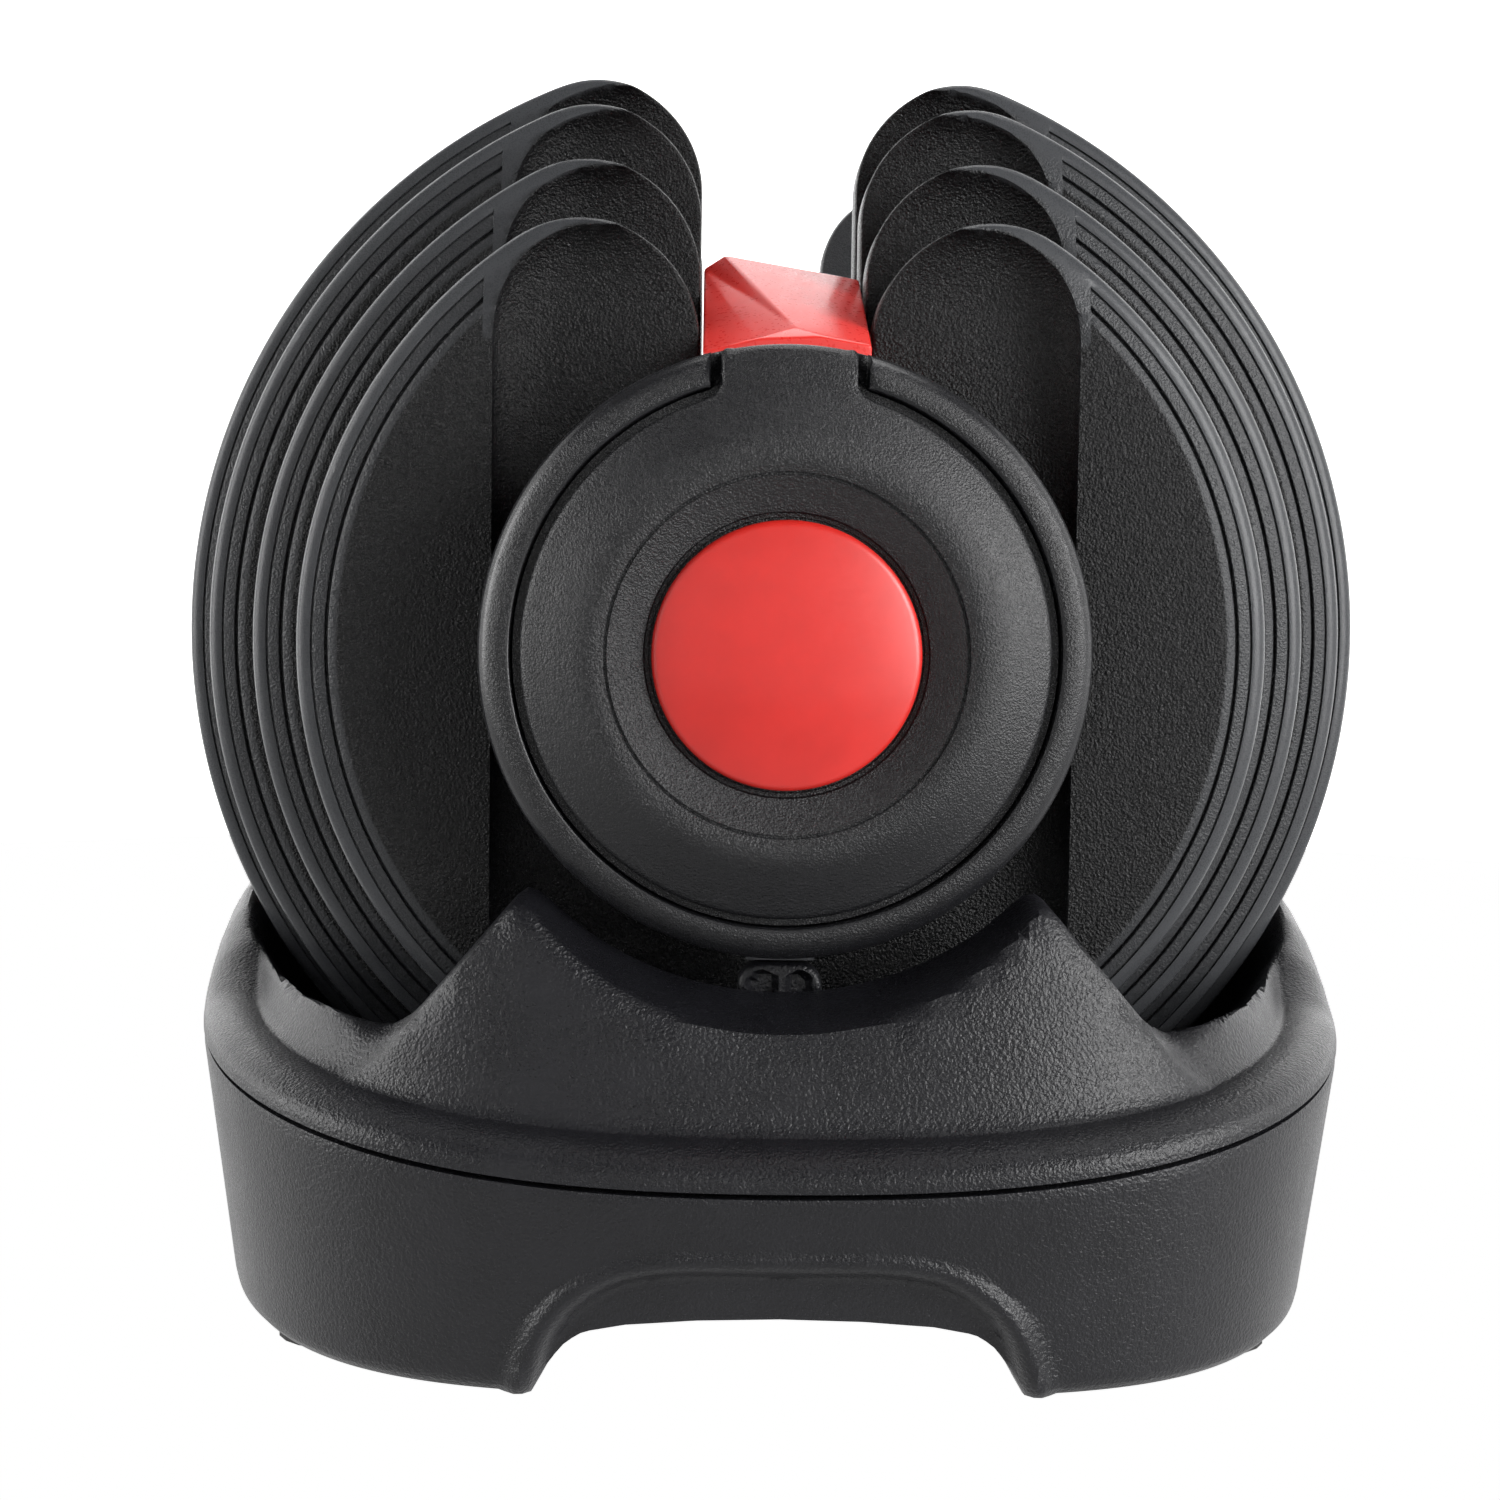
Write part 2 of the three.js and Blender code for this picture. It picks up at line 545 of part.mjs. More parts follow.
// The cover's outer body: a plug inside the wall shell, and above the seam the rolled edge and the deck.
// Its hollow is the same body, pulled in and lowered by shrink and open below.
function coverBody(shrink) {
  const seamFace = (x) => seamHeight(x) + GAP;
  const rings = shrink
    ? [{ inset: shrink, z: () => 0 }]
    : [{ inset: 6, z: () => 28 }, { inset: 4.6, z: seamFace }, { inset: 0, z: seamFace }];
  for (let i = 0; i <= ROLL.steps; i += 1) {
    const turn = (i / ROLL.steps) * (Math.PI / 2);
    const inset = shrink + ROLL.width * (1 - Math.cos(turn));
    const rise = 0.25 + 0.75 * Math.sin(turn);
    rings.push({ inset, z: (x, y) => seamFace(x) + coverRise(y) * rise - shrink });
  }
  rings.push({ inset: shrink + 22, z: (x, y) => seamFace(x) + coverRise(y) - shrink });
  return ringBody(rings);
}

// The space for one end's plates, widened by grow.
function pockets(side, grow) {
  return join(...PLATE_RADII.map((radius, i) => {
    const outerY = plateOuterY(i);
    const near = outerY - PLATE_THICK - (i === 3 ? 3.5 : 1) - (i === 3 ? grow : 0);
    const far = outerY + (i === 0 ? 3.5 : 0.5) + grow;
    return cylinderAt(side, radius + POCKET.clear + grow, near, far, 28);
  }));
}

function bay(grow) {
  const shape = new THREE.Shape();
  const half = BAY.halfWidth + grow;
  shape.moveTo(-half, BAY.floor - grow);
  shape.lineTo(half, BAY.floor - grow);
  shape.lineTo(half + BAY.flare, 90);
  shape.lineTo(-half - BAY.flare, 90);
  return prismY(shape, -BAY.halfLength - grow, BAY.halfLength + grow);
}

// The block under the cap: two peaks with a round valley between them, sloping down to the rim in front.
function endBlock(side, shrink) {
  const shape = new THREE.Shape();
  const arc = BLOCK.arc + shrink;
  const peakX = BLOCK.peakX;
  const start = Math.asin(peakX / arc);
  const peakZ = AXIS_Z - arc * Math.cos(start);
  const low = shrink ? -1 : 39.5;
  shape.moveTo(-BLOCK.footX + shrink, low);
  shape.lineTo(-BLOCK.footX + shrink, BLOCK.footZ - shrink);
  shape.lineTo(-peakX, peakZ);
  shape.absarc(0, AXIS_Z, arc, -Math.PI / 2 - start, -Math.PI / 2 + start, false);
  shape.lineTo(BLOCK.footX - shrink, BLOCK.footZ - shrink);
  shape.lineTo(BLOCK.footX - shrink, low);
  const ridge = prismY(shape, side.dir * (BLOCK.near + shrink), side.dir * BLOCK.foot, 8);
  const slope = prismX([
    [side.dir * BLOCK.near, low - 1], [side.dir * BLOCK.near, 90], [side.dir * (BLOCK.ridge - shrink), 78],
    [side.dir * (BLOCK.foot - 4.5 - shrink), 40], [side.dir * (BLOCK.foot - 4.5 - shrink), low - 1],
  ], 90);
  const inset = BLOCK.inset + shrink;
  const plan = ringBody([{ inset, z: () => -5 }, { inset, z: () => 95 }]);
  return ridge.intersect(slope).intersect(plan);
}

function postWell(side, grow) {
  return endBox(side, WELL.half + grow, WELL.near - grow, WELL.far + grow, WELL.floor - grow, 80);
}

// The part of one end's pocket walls below the split height.
function linerSpace(side, grow) {
  const below = box([-110, -180, -5], [110, 180, POCKET.split - GAP + grow]);
  return pockets(side, POCKET.skin + grow).intersect(below);
}

const pocketLiner = (side) => cut(linerSpace(side, 0), pockets(side, 0));

function trayCover() {
  const blocks = SIDES.map((side) => endBlock(side, 0));
  const upper = box([-110, -180, 50], [110, 180, 300]);
  const walls = SIDES.map((side) => cut(pockets(side, POCKET.skin), upper));
  const outer = join(coverBody(0), ...blocks, ...walls);
  const hollowBlocks = SIDES.map((side) => endBlock(side, TRAY.wall));
  const kept = SIDES.flatMap((side) => [pockets(side, POCKET.skin), postWell(side, TRAY.wall)]);
  const hollow = cut(join(coverBody(TRAY.wall), ...hollowBlocks), bay(TRAY.wall), ...kept);
  const spaces = SIDES.flatMap((side) => [pockets(side, 0), postWell(side, 0), linerSpace(side, GAP)]);
  const shell = cut(outer, hollow, bay(0), ...spaces);
  const bosses = corners(SCREW).map(([x, y]) =>
    cut(disc(x, y, 4.4, SCREW.bossTop + GAP, 49, 16), ...SIDES.map((side) => pockets(side, 1))));
  return cut(join(shell, ...bosses), ...corners(SCREW).map(([x, y]) => screwSpace(x, y, GAP, 0)));
}

function unlockPost(side) {
  const top = AXIS_Z + SLIDER_FOOT_Z - GAP;
  const shape = new THREE.Shape();
  shape.moveTo(-POST.half, WELL.floor + GAP);
  shape.lineTo(POST.half, WELL.floor + GAP);
  shape.lineTo(POST.half, top - 3);
  shape.quadraticCurveTo(POST.half - 0.5, top, POST.half - 3.5, top);
  shape.lineTo(-POST.half + 3.5, top);
  shape.quadraticCurveTo(-POST.half + 0.5, top, -POST.half, top - 3);
  return prismY(shape, side.dir * POST.near, side.dir * POST.far, 3);
}

addPart('tray_base', trayBase(), MATERIAL.tray);
addPart('tray_cover', trayCover(), MATERIAL.tray);
SIDES.forEach((side) => addPart(`pocket_liner_${side.name}`, pocketLiner(side), MATERIAL.tray));
SIDES.forEach((side) => addPart(`unlock_post_${side.name}`, unlockPost(side), MATERIAL.tray));
const CORNER_NAMES = ['front_left', 'front_right', 'rear_left', 'rear_right'];
corners(FOOT).forEach(([x, y], i) => {
  addPart(`foot_${CORNER_NAMES[i]}`, disc(x, y, FOOT.radius, 0, TRAY.floor + 1 - GAP), MATERIAL.rubber);
});
corners(SCREW).forEach(([x, y], i) => {
  addPart(`cover_screw_${CORNER_NAMES[i]}`, screwSpace(x, y, 0, TRAY.floor + GAP), MATERIAL.steel);
});

export default dumbbell;
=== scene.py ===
"""An adjustable dumbbell resting in its cradle.

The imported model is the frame. Lengths below are millimetres: X to the right, Y along the handle with the
front end towards -Y, Z up from the floor. Meshes are written in metres. The camera looks at the front end.
"""
import math

import bmesh
import bpy
import numpy as np
from mathutils import Matrix, Vector, geometry


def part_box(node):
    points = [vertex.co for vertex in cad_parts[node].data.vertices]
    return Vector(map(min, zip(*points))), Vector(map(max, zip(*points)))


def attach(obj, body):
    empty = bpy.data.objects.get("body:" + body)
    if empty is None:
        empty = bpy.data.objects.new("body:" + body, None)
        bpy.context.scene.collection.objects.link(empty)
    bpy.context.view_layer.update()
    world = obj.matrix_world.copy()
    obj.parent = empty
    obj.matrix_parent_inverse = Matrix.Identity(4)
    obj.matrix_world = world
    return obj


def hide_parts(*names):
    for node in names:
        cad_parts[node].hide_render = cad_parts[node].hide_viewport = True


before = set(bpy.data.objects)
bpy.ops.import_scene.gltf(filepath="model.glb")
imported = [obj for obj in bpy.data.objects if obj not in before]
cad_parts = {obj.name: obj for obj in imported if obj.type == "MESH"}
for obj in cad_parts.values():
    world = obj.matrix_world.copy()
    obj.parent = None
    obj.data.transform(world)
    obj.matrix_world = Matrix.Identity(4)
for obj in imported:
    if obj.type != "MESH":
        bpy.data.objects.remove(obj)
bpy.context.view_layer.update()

MM = 0.001
SIDES = (("front", -1), ("rear", 1))


def box_mm(node):
    """Lowest and highest corner of a node, in millimetres."""
    low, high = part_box(node)
    return np.array(low) / MM, np.array(high) / MM


def reach_mm(node):
    """A node's near and far end along Y, as distances from the middle, and its largest X."""
    low, high = box_mm(node)
    near, far = sorted((abs(low[1]), abs(high[1])))
    return near, far, high[0]


# ---------------------------------------------------------------- sizes
ROD_LOW, ROD_HIGH = box_mm("centre_rod")
AXIS_Z = (ROD_LOW[2] + ROD_HIGH[2]) / 2

RIM_PROFILE = (                    # distance in from the plate's round edge, drop below its outer face
    (0.0, 3.6), (0.25, 3.0), (0.7, 2.45), (1.3, 2.0), (2.0, 1.75), (2.4, 1.7),
    (2.45, 2.3), (2.75, 2.3), (2.8, 1.55), (3.0, 1.42), (4.5, 1.05), (4.65, 1.15),
    (4.7, 2.3), (5.2, 2.3), (5.25, 0.6), (5.4, 0.45), (6.4, 0.08), (6.8, 0.0),
)
RIM_PLAIN = (                      # the same rim where it crosses the channel
    (0.0, 3.6), (0.25, 3.0), (0.7, 2.45), (1.3, 2.0), (2.4, 1.55), (4.0, 0.95), (5.4, 0.4), (6.8, 0.0),
)
GROOVE_START_X = 45.2              # the rim's grooves stop this far from the plate's middle
SMOOTH_BAND = 2.6                  # width of the rim's outer band, which has no grain
SLOT_HALF = 13.0
HORN_RADIUS = 18.0
CHANNEL_HALF = 43.7
CHANNEL_FLOOR_HALF = 34.0
CHANNEL_DEPTH = 5.5
COVE_TURN_X, COVE_TURN_HEIGHT = 30.0, 17.0   # where the cove's edge turns in over a horn
PLATE_EDGE = 0.6                   # rounding of the plate's sharp edges
LUG_HALF, LUG_NEAR, LUG_FAR, LUG_DEPTH = 7.6, 20.5, 26.5, 2.5

RING_INNER = 39.7
NOTCH_HALF = 11.3
TAB_HALF = 9.8
TAB_TOP = 44.4
FACE_RADIUS = 38.2                 # where the cap's face ends at the groove
SHELF_RADIUS = 39.4                # the groove's floor

TRAY_HALF_X, TRAY_HALF_Y = box_mm("tray_base")[1][0], 170.0
TRAY_POWER = 3.45                  # squareness of the cradle's rounded plan
TRAY_DRAFT = 5.5                   # how far the walls lean in from the seam to the floor
TRAY_FLOOR = 1.5
TRAY_WALL = 2.6
SEAM_LOW, SEAM_RISE, SEAM_POWER = 31.2, 12.0, 2.2
SEAM_GAP = 0.85
ROLL_WIDTH = 9.0                   # width of the cover's rolled edge
END_RISE = 6.9                     # height of the rim above the seam at the two ends
END_START_Y = 150.0                # the end walls start this far from the middle
RIDGE = (                          # distance from the middle along Y, height of the rolled edge's top
    (0, 65), (39, 64), (59, 61.8), (71, 59), (84, 54), (94, 48.5), (100, 44.5), (108, 40), (120, 32),
    (170, 20),
)
SHOULDER = (                       # distance from the middle along Y, height of the deck round the pockets
    (0, 65.2), (39, 64.3), (59, 62.6), (80, 60.4), (109, 57.3), (124, 54.4), (136, 51.2),
    (145, 47.8), (152, 44.2), (157, 40.8), (161, 37.8), (170, 35.0),
)
POCKET_CLEAR = 2.5                 # room round each plate
MOUTH = (                          # distance from the middle along Y, radius of the pockets' wide mouth
    (59, 101.7), (80, 101.4), (98, 98.0), (109, 95.2), (124, 91.0), (132, 87.0), (137, 83.5),
    (139.5, 79.0), (140.6, 70.0), (141.2, 56.0),
)
MOUTH_LEDGE = 40.0                 # the mouth goes no lower than this
MOUTH_ROUND = 3.2                  # rounding of the pockets' upper edge
COVER_SKIN = 2.8
PLUG_DEPTH = 5.0                   # how far the cover's inner rim reaches down inside the base
FLANGE_START_X, FLANGE_INNER_X, FLANGE_HALF_Y = 42.0, 70.0, 118.0
FLANGE_THICK = 2.5
BAY_HALF_X, BAY_HALF_Y, BAY_FLOOR, BAY_FLARE = 76.0, 53.0, 40.0, 0.18
BLOCK_PEAK_X, BLOCK_PEAK_Z = 36.5, 72.6
BLOCK_FOOT_X, BLOCK_FOOT_Z = 52.5, 53.7
BLOCK_BACK = (                     # X, and where the block's back edge lies along Y
    (0, 143.5), (30, 143.5), (37, 142.5), (49, 141), (58, 140),
)
VALLEY_RADIUS, VALLEY_SPREAD = 50.0, 0.31
FACE_RUN = 0.27                    # distance that the block's end face runs in for each millimetre up
ARCH_OUTER = (                     # right half of the bead round each hand opening: X, Z
    (41.0, 0.0), (39.6, 5.0), (37.6, 10.0), (35.3, 14.0), (32.0, 17.2), (28.0, 19.9), (23.4, 21.9),
    (18.0, 22.9), (13.0, 23.2), (0.0, 23.2),
)
ARCH_OPENING = (                   # right half of the opening itself: X, Z
    (36.4, 0.0), (35.0, 3.0), (33.0, 6.2), (30.6, 9.0), (28.0, 10.6), (22.0, 11.8),
    (12.0, 12.6), (0.0, 12.9),
)

KEY_FACES = (                      # corners of each face, as key_corners counts them
    [0, 3, 2, 1],
    [0, 1, 7, 6, 5, 4],
    [0, 4, 8], [0, 8, 12], [0, 12, 3],
    [1, 2, 13], [1, 13, 11], [1, 11, 7],
    [3, 12, 14], [3, 14, 15], [3, 15, 2], [2, 15, 13],
    [4, 5, 9, 8], [5, 6, 10, 9], [6, 7, 11, 10],
    [8, 9, 16], [8, 16, 14], [8, 14, 12],
    [9, 10, 16], [10, 15, 16], [10, 11, 13], [10, 13, 15],
    [14, 16, 15],
)
HUB_HOLE = 9.4                     # radius of the hole round the rod in the caps, the guards and the grip
KNURL_ROWS, KNURL_AROUND, KNURL_HALF = 51, 58, 42.0
KNURL_WIDTH, KNURL_HEIGHT = 0.95, 0.6

# the camera in millimetres and degrees; the stage and the lights in metres
CAMERA_PLACE = (-12.0, -539.1, 122.3)
CAMERA_YAW, CAMERA_PITCH, CAMERA_ROLL = 1.03, -4.42, 0.77
CAMERA_LENS = 65.05
STAGE_DIM, STAGE_GLOW = 0.12, 1.0
STAGE_DARK_Y, STAGE_BRIGHT_Y = -0.5, -0.21
STAGE_RADIUS, STAGE_CURVE, STAGE_WALL = 2.6, 0.7, 2.4
WORLD_GLOW = 0.06
LIGHTS = (                         # name, place, aim, width, height, power
    ("main_softbox", (0.70, -0.60, 0.34), (0.0, -0.1, 0.09), 0.42, 0.66, 13.0),
    ("left_softbox", (-0.95, -0.16, 0.3), (0.0, -0.08, 0.09), 0.35, 0.7, 6.5),
    ("top_softbox", (0.1, 0.1, 1.1), (0.0, 0.0, 0.1), 0.7, 0.6, 6.0),
)


# ---------------------------------------------------------------- shader building blocks
class Shader:
    """A material's node tree, with short calls to add and join nodes."""

    def __init__(self, name):
        self.material = bpy.data.materials.new(name)
        self.material.use_nodes = True
        self.tree = self.material.node_tree
        self.principled = self.tree.nodes["Principled BSDF"]
        self.position = self.add("ShaderNodeTexCoord").outputs["Object"]

    def add(self, kind, **settings):
        node = self.tree.nodes.new(kind)
        for key, value in settings.items():
            setattr(node, key, value)
        return node

    def join(self, source, target):
        self.tree.links.new(source, target)

    def feed(self, source, name):
        self.join(source, self.principled.inputs[name])

    def put(self, name, value):
        self.principled.inputs[name].default_value = value

    def noise(self, size_mm, detail=3.0, roughness=0.5, stretch=None):
        node = self.add("ShaderNodeTexNoise")
        node.inputs["Scale"].default_value = 1.0 / (size_mm * MM)
        node.inputs["Detail"].default_value = detail
        node.inputs["Roughness"].default_value = roughness
        source = self.position
        if stretch is not None:
            mapping = self.add("ShaderNodeMapping")
            mapping.inputs["Scale"].default_value = stretch
            self.join(self.position, mapping.inputs["Vector"])
            source = mapping.outputs["Vector"]
        self.join(source, node.inputs["Vector"])
        return node.outputs["Fac"]

    def cells(self, size_mm, feature, smoothness):
        node = self.add("ShaderNodeTexVoronoi", feature=feature)
        node.inputs["Scale"].default_value = 1.0 / (size_mm * MM)
        node.inputs["Smoothness"].default_value = smoothness
        self.join(self.position, node.inputs["Vector"])
        return node.outputs["Distance"]

    def ramp(self, source, low, high, out_low, out_high):
        node = self.add("ShaderNodeMapRange")
        node.inputs["From Min"].default_value = low
        node.inputs["From Max"].default_value = high
        node.inputs["To Min"].default_value = out_low
        node.inputs["To Max"].default_value = out_high
        self.join(source, node.inputs["Value"])
        return node.outputs["Result"]

    def math(self, operation, first, second):
        node = self.add("ShaderNodeMath", operation=operation)
        for socket, value in zip(node.inputs, (first, second)):
            if isinstance(value, (int, float)):
                socket.default_value = value
            else:
                self.join(value, socket)
        return node.outputs["Value"]

    def mix(self, factor, first, second):
        """Mix two colours; each is a fixed colour or another node's output."""
        node = self.add("ShaderNodeMix", data_type="RGBA")
        self.join(factor, node.inputs["Factor"])
        for socket, value in ((node.inputs[6], first), (node.inputs[7], second)):
            if isinstance(value, tuple):
                socket.default_value = value
            else:
                self.join(value, socket)
        return node.outputs[2]

    def shades(self, source, low, high, colour, dark, light):
        """The colour, darker where source is low and lighter where it is high."""
        share = self.ramp(source, low, high, 0.0, 1.0)
        return self.mix(share, scaled(colour, dark), scaled(colour, light))

    def bump(self, height, strength, distance_mm, below=None):
        node = self.add("ShaderNodeBump")
        node.inputs["Distance"].default_value = distance_mm * MM
        if isinstance(strength, (int, float)):
            node.inputs["Strength"].default_value = strength
        else:
            self.join(strength, node.inputs["Strength"])
        self.join(height, node.inputs["Height"])
        if below is not None:
            self.join(below, node.inputs["Normal"])
        return node.outputs["Normal"]


def srgb(red, green, blue):
    """A colour given as 0-255 screen values, as linear light."""
    def linear(value):
        value /= 255
        return value / 12.92 if value <= 0.04045 else ((value + 0.055) / 1.055) ** 2.4
    return (linear(red), linear(green), linear(blue), 1.0)


def scaled(colour, factor):
    return (colour[0] * factor, colour[1] * factor, colour[2] * factor, 1.0)


def grained_plastic(name, colour, grain_mm, depth_mm, roughness, specular, lit_smooth_colour=None):
    """Moulded black surface with a leather-like grain, and a painted highlight that lightens its sharp edges.

    Where a smooth colour is given, the mesh's grain attribute says where the surface is grained, and its smooth
    bands take that colour: a lighter tone that paints the light those bands catch.
    """
    masked = lit_smooth_colour is not None
    shader = Shader(name)
    coarse = shader.cells(grain_mm, "SMOOTH_F1", 0.35)
    fine = shader.noise(grain_mm * 0.5, 2.0)
    height = shader.math("ADD", shader.math("MULTIPLY", coarse, 0.7), shader.math("MULTIPLY", fine, 0.9))
    strength = 1.0
    if masked:
        mask = shader.add("ShaderNodeAttribute", attribute_name="grain")
        strength = shader.ramp(mask.outputs["Fac"], 0.0, 1.0, 0.1, 1.0)
    wave = shader.bump(shader.noise(22.0, 2.0), 0.25, 0.25)
    shader.feed(shader.bump(height, strength, depth_mm, wave), "Normal")

    patches = shader.noise(9.0, 4.0)
    shade = shader.shades(patches, 0.3, 0.7, colour, 0.85, 1.15)
    # Painted highlight: sharp edges, found by pointiness, are mixed towards a lighter copy of the colour.
    edge = shader.add("ShaderNodeNewGeometry").outputs["Pointiness"]
    colour_with_painted_light = shader.mix(shader.ramp(edge, 0.53, 0.62, 0.0, 0.35), shade, scaled(colour, 2.2))
    # Painted light: the smooth bands take the lighter colour given for them.
    if masked:
        colour_with_painted_light = shader.mix(mask.outputs["Fac"], lit_smooth_colour, colour_with_painted_light)
    shader.feed(colour_with_painted_light, "Base Color")

    glints = shader.ramp(fine, 0.35, 0.7, roughness - 0.07, roughness + 0.07)
    rough = shader.math("ADD", glints, shader.ramp(patches, 0.3, 0.7, -0.03, 0.03))
    shader.feed(rough, "Roughness")
    shader.put("Specular IOR Level", specular)
    return shader.material


def glossy_plastic(name, colour, roughness, coat):
    """Smooth moulded plastic with faint waviness, dust and moulding marks."""
    shader = Shader(name)
    wave = shader.bump(shader.noise(14.0, 1.0), 0.2, 0.12)
    specks = shader.noise(0.35, 2.0)
    shader.feed(shader.bump(specks, 0.08, 0.015, wave), "Normal")
    patches = shader.noise(6.0, 5.0, 0.6)
    shade = shader.shades(patches, 0.3, 0.7, colour, 0.93, 1.05)
    shader.feed(shade, "Base Color")
    dust = shader.noise(0.7, 4.0)
    rough = shader.math(
        "ADD", shader.ramp(dust, 0.3, 0.75, roughness - 0.05, roughness + 0.08),
        shader.ramp(patches, 0.3, 0.7, -0.02, 0.02))
    shader.feed(rough, "Roughness")
    shader.put("Coat Weight", coat)
    shader.put("Coat Roughness", 0.18)
    return shader.material


def brushed_steel(name, colour, roughness, stretch):
    """Metal with fine drawn lines across it and small stains."""
    shader = Shader(name)
    lines = shader.noise(0.5, 3.0, 0.6, stretch)
    shader.feed(shader.bump(lines, 0.25, 0.04), "Normal")
    stains = shader.noise(5.0, 4.0, 0.6)
    shade = shader.shades(stains, 0.35, 0.7, colour, 0.8, 1.08)
    shader.feed(shade, "Base Color")
    rough = shader.math(
        "ADD", shader.ramp(lines, 0.3, 0.7, roughness - 0.06, roughness + 0.08),
        shader.ramp(stains, 0.3, 0.7, -0.05, 0.06))
    shader.feed(rough, "Roughness")
    shader.put("Metallic", 1.0)
    return shader.material


def soft_rubber(name):
    shader = Shader(name)
    pores = shader.noise(0.25, 3.0)
    shader.feed(shader.bump(pores, 0.5, 0.06), "Normal")
    dust = shader.noise(3.0, 5.0, 0.65)
    shade = shader.mix(shader.ramp(dust, 0.45, 0.75, 0.0, 1.0), srgb(20, 20, 20), srgb(42, 41, 40))
    shader.feed(shade, "Base Color")
    shader.feed(shader.ramp(pores, 0.3, 0.7, 0.75, 0.92), "Roughness")
    return shader.material


# The last colour of a grained plastic is the lighter tone of its smooth bands, a painted light on the plates'
# rim and on the caps' edges and slopes.
TRAY_PLASTIC = grained_plastic("cradle_grained_plastic", srgb(18, 18, 21), 0.62, 0.15, 0.33, 0.3)
PLATE_COATING = grained_plastic("plate_coating", srgb(8, 8, 9), 0.46, 0.25, 0.3, 0.2, srgb(52, 53, 55))
CAP_PLASTIC = grained_plastic("cap_fine_grain", srgb(17, 17, 19), 0.36, 0.17, 0.28, 0.34,
                              srgb(24, 24, 26))
INNER_PLASTIC = grained_plastic("selector_plastic", srgb(40, 41, 44), 0.5, 0.05, 0.42, 0.4)
RED_PLASTIC = glossy_plastic("red_gloss_plastic", (0.55, 0.02, 0.015, 1.0), 0.3, 0.25)
BADGE_PLASTIC = glossy_plastic("red_badge_plastic", (0.45, 0.011, 0.007, 1.0), 0.4, 0.1)
ROD_STEEL = brushed_steel("turned_steel", (0.52, 0.53, 0.55, 1.0), 0.3, (1.0, 0.06, 1.0))
PLATE_STEEL = brushed_steel("pressed_steel", (0.45, 0.46, 0.48, 1.0), 0.38, (1.0, 1.0, 0.08))
GRIP_METAL = brushed_steel("grip_metal", (0.34, 0.345, 0.36, 1.0), 0.36, (1.0, 0.5, 1.0))
FOOT_RUBBER = soft_rubber("foot_rubber")


# ---------------------------------------------------------------- making pieces
def make_piece(name, points, faces, material, body, stands_for, sharp=32.0, grain=None):
    """A closed mesh in millimetres becomes a piece that rides on a body and stands for some nodes."""
    mesh = bpy.data.meshes.new(name)
    mesh.from_pydata([tuple(float(v) * MM for v in p) for p in points], [], faces)
    if grain is not None:
        layer = mesh.attributes.new("grain", "FLOAT", "POINT")
        layer.data.foreach_set("value", np.asarray(grain, dtype=np.float32))
    shape = bmesh.new()
    shape.from_mesh(mesh)
    bmesh.ops.remove_doubles(shape, verts=shape.verts, dist=2e-6)
    bmesh.ops.dissolve_degenerate(shape, edges=shape.edges, dist=1e-7)
    bmesh.ops.recalc_face_normals(shape, faces=shape.faces)
    shape.to_mesh(mesh)
    shape.free()
    mesh.polygons.foreach_set("use_smooth", [True] * len(mesh.polygons))
    mesh.set_sharp_from_angle(angle=math.radians(sharp))
    mesh.materials.append(material)
    piece = bpy.data.objects.new(name, mesh)
    bpy.context.scene.collection.objects.link(piece)
    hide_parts(*stands_for)
    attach(piece, body)
    return piece


def cut_box(piece, low, high):
    """Take a box out of a piece, and leave the result in its mesh."""
    points, faces = box_shape(low, high, 0)
    mesh = bpy.data.meshes.new("cutter")
    mesh.from_pydata([tuple(float(v) * MM for v in p) for p in points], [], faces)
    cutter = bpy.data.objects.new("cutter", mesh)
    bpy.context.scene.collection.objects.link(cutter)
    modifier = piece.modifiers.new("cut", "BOOLEAN")
    modifier.operation = "DIFFERENCE"
    modifier.solver = "EXACT"
    modifier.use_self = True
    modifier.object = cutter
    graph = bpy.context.evaluated_depsgraph_get()
    result = bpy.data.meshes.new_from_object(piece.evaluated_get(graph))
    piece.modifiers.clear()
    bpy.data.objects.remove(cutter)
    piece.data = result


def band(first, second):
    """Faces between two closed rings that have the same number of points."""
    next_first = first[1:] + first[:1]
    next_second = second[1:] + second[:1]
    return [list(face) for face in zip(first, next_first, next_second, second)]


class Parts:
    """Points and faces gathered from several closed shapes."""

    def __init__(self):
        self.points = []
        self.faces = []
        self.grain = []

    def add(self, points, faces, grain=1.0):
        start = len(self.points)
        self.points.extend(points)
        self.faces.extend([[start + i for i in face] for face in faces])
        values = [grain] * len(points) if isinstance(grain, (int, float)) else list(grain)
        self.grain.extend(values)


def lathe(profile, direction, segments=96):
    """A closed profile of (radius, distance along Y) turned about the handle axis."""
    points = []
    faces = []
    count = len(profile)
    for k in range(segments):
        turn = 2 * math.pi * k / segments
        for radius, y in profile:
            points.append((radius * math.cos(turn), direction * y, AXIS_Z + radius * math.sin(turn)))
    for k in range(segments):
        here, after = k * count, ((k + 1) % segments) * count
        for i in range(count):
            j = (i + 1) % count
            quad = [here + i, here + j, after + j, after + i]
            on_axis = [profile[i][0] < 1e-9, profile[j][0] < 1e-9]
            if all(on_axis):
                continue
            if on_axis[0]:
                quad = [here + i, here + j, after + j]
            elif on_axis[1]:
                quad = [here + i, here + j, after + i]
            faces.append(quad)
    return points, faces


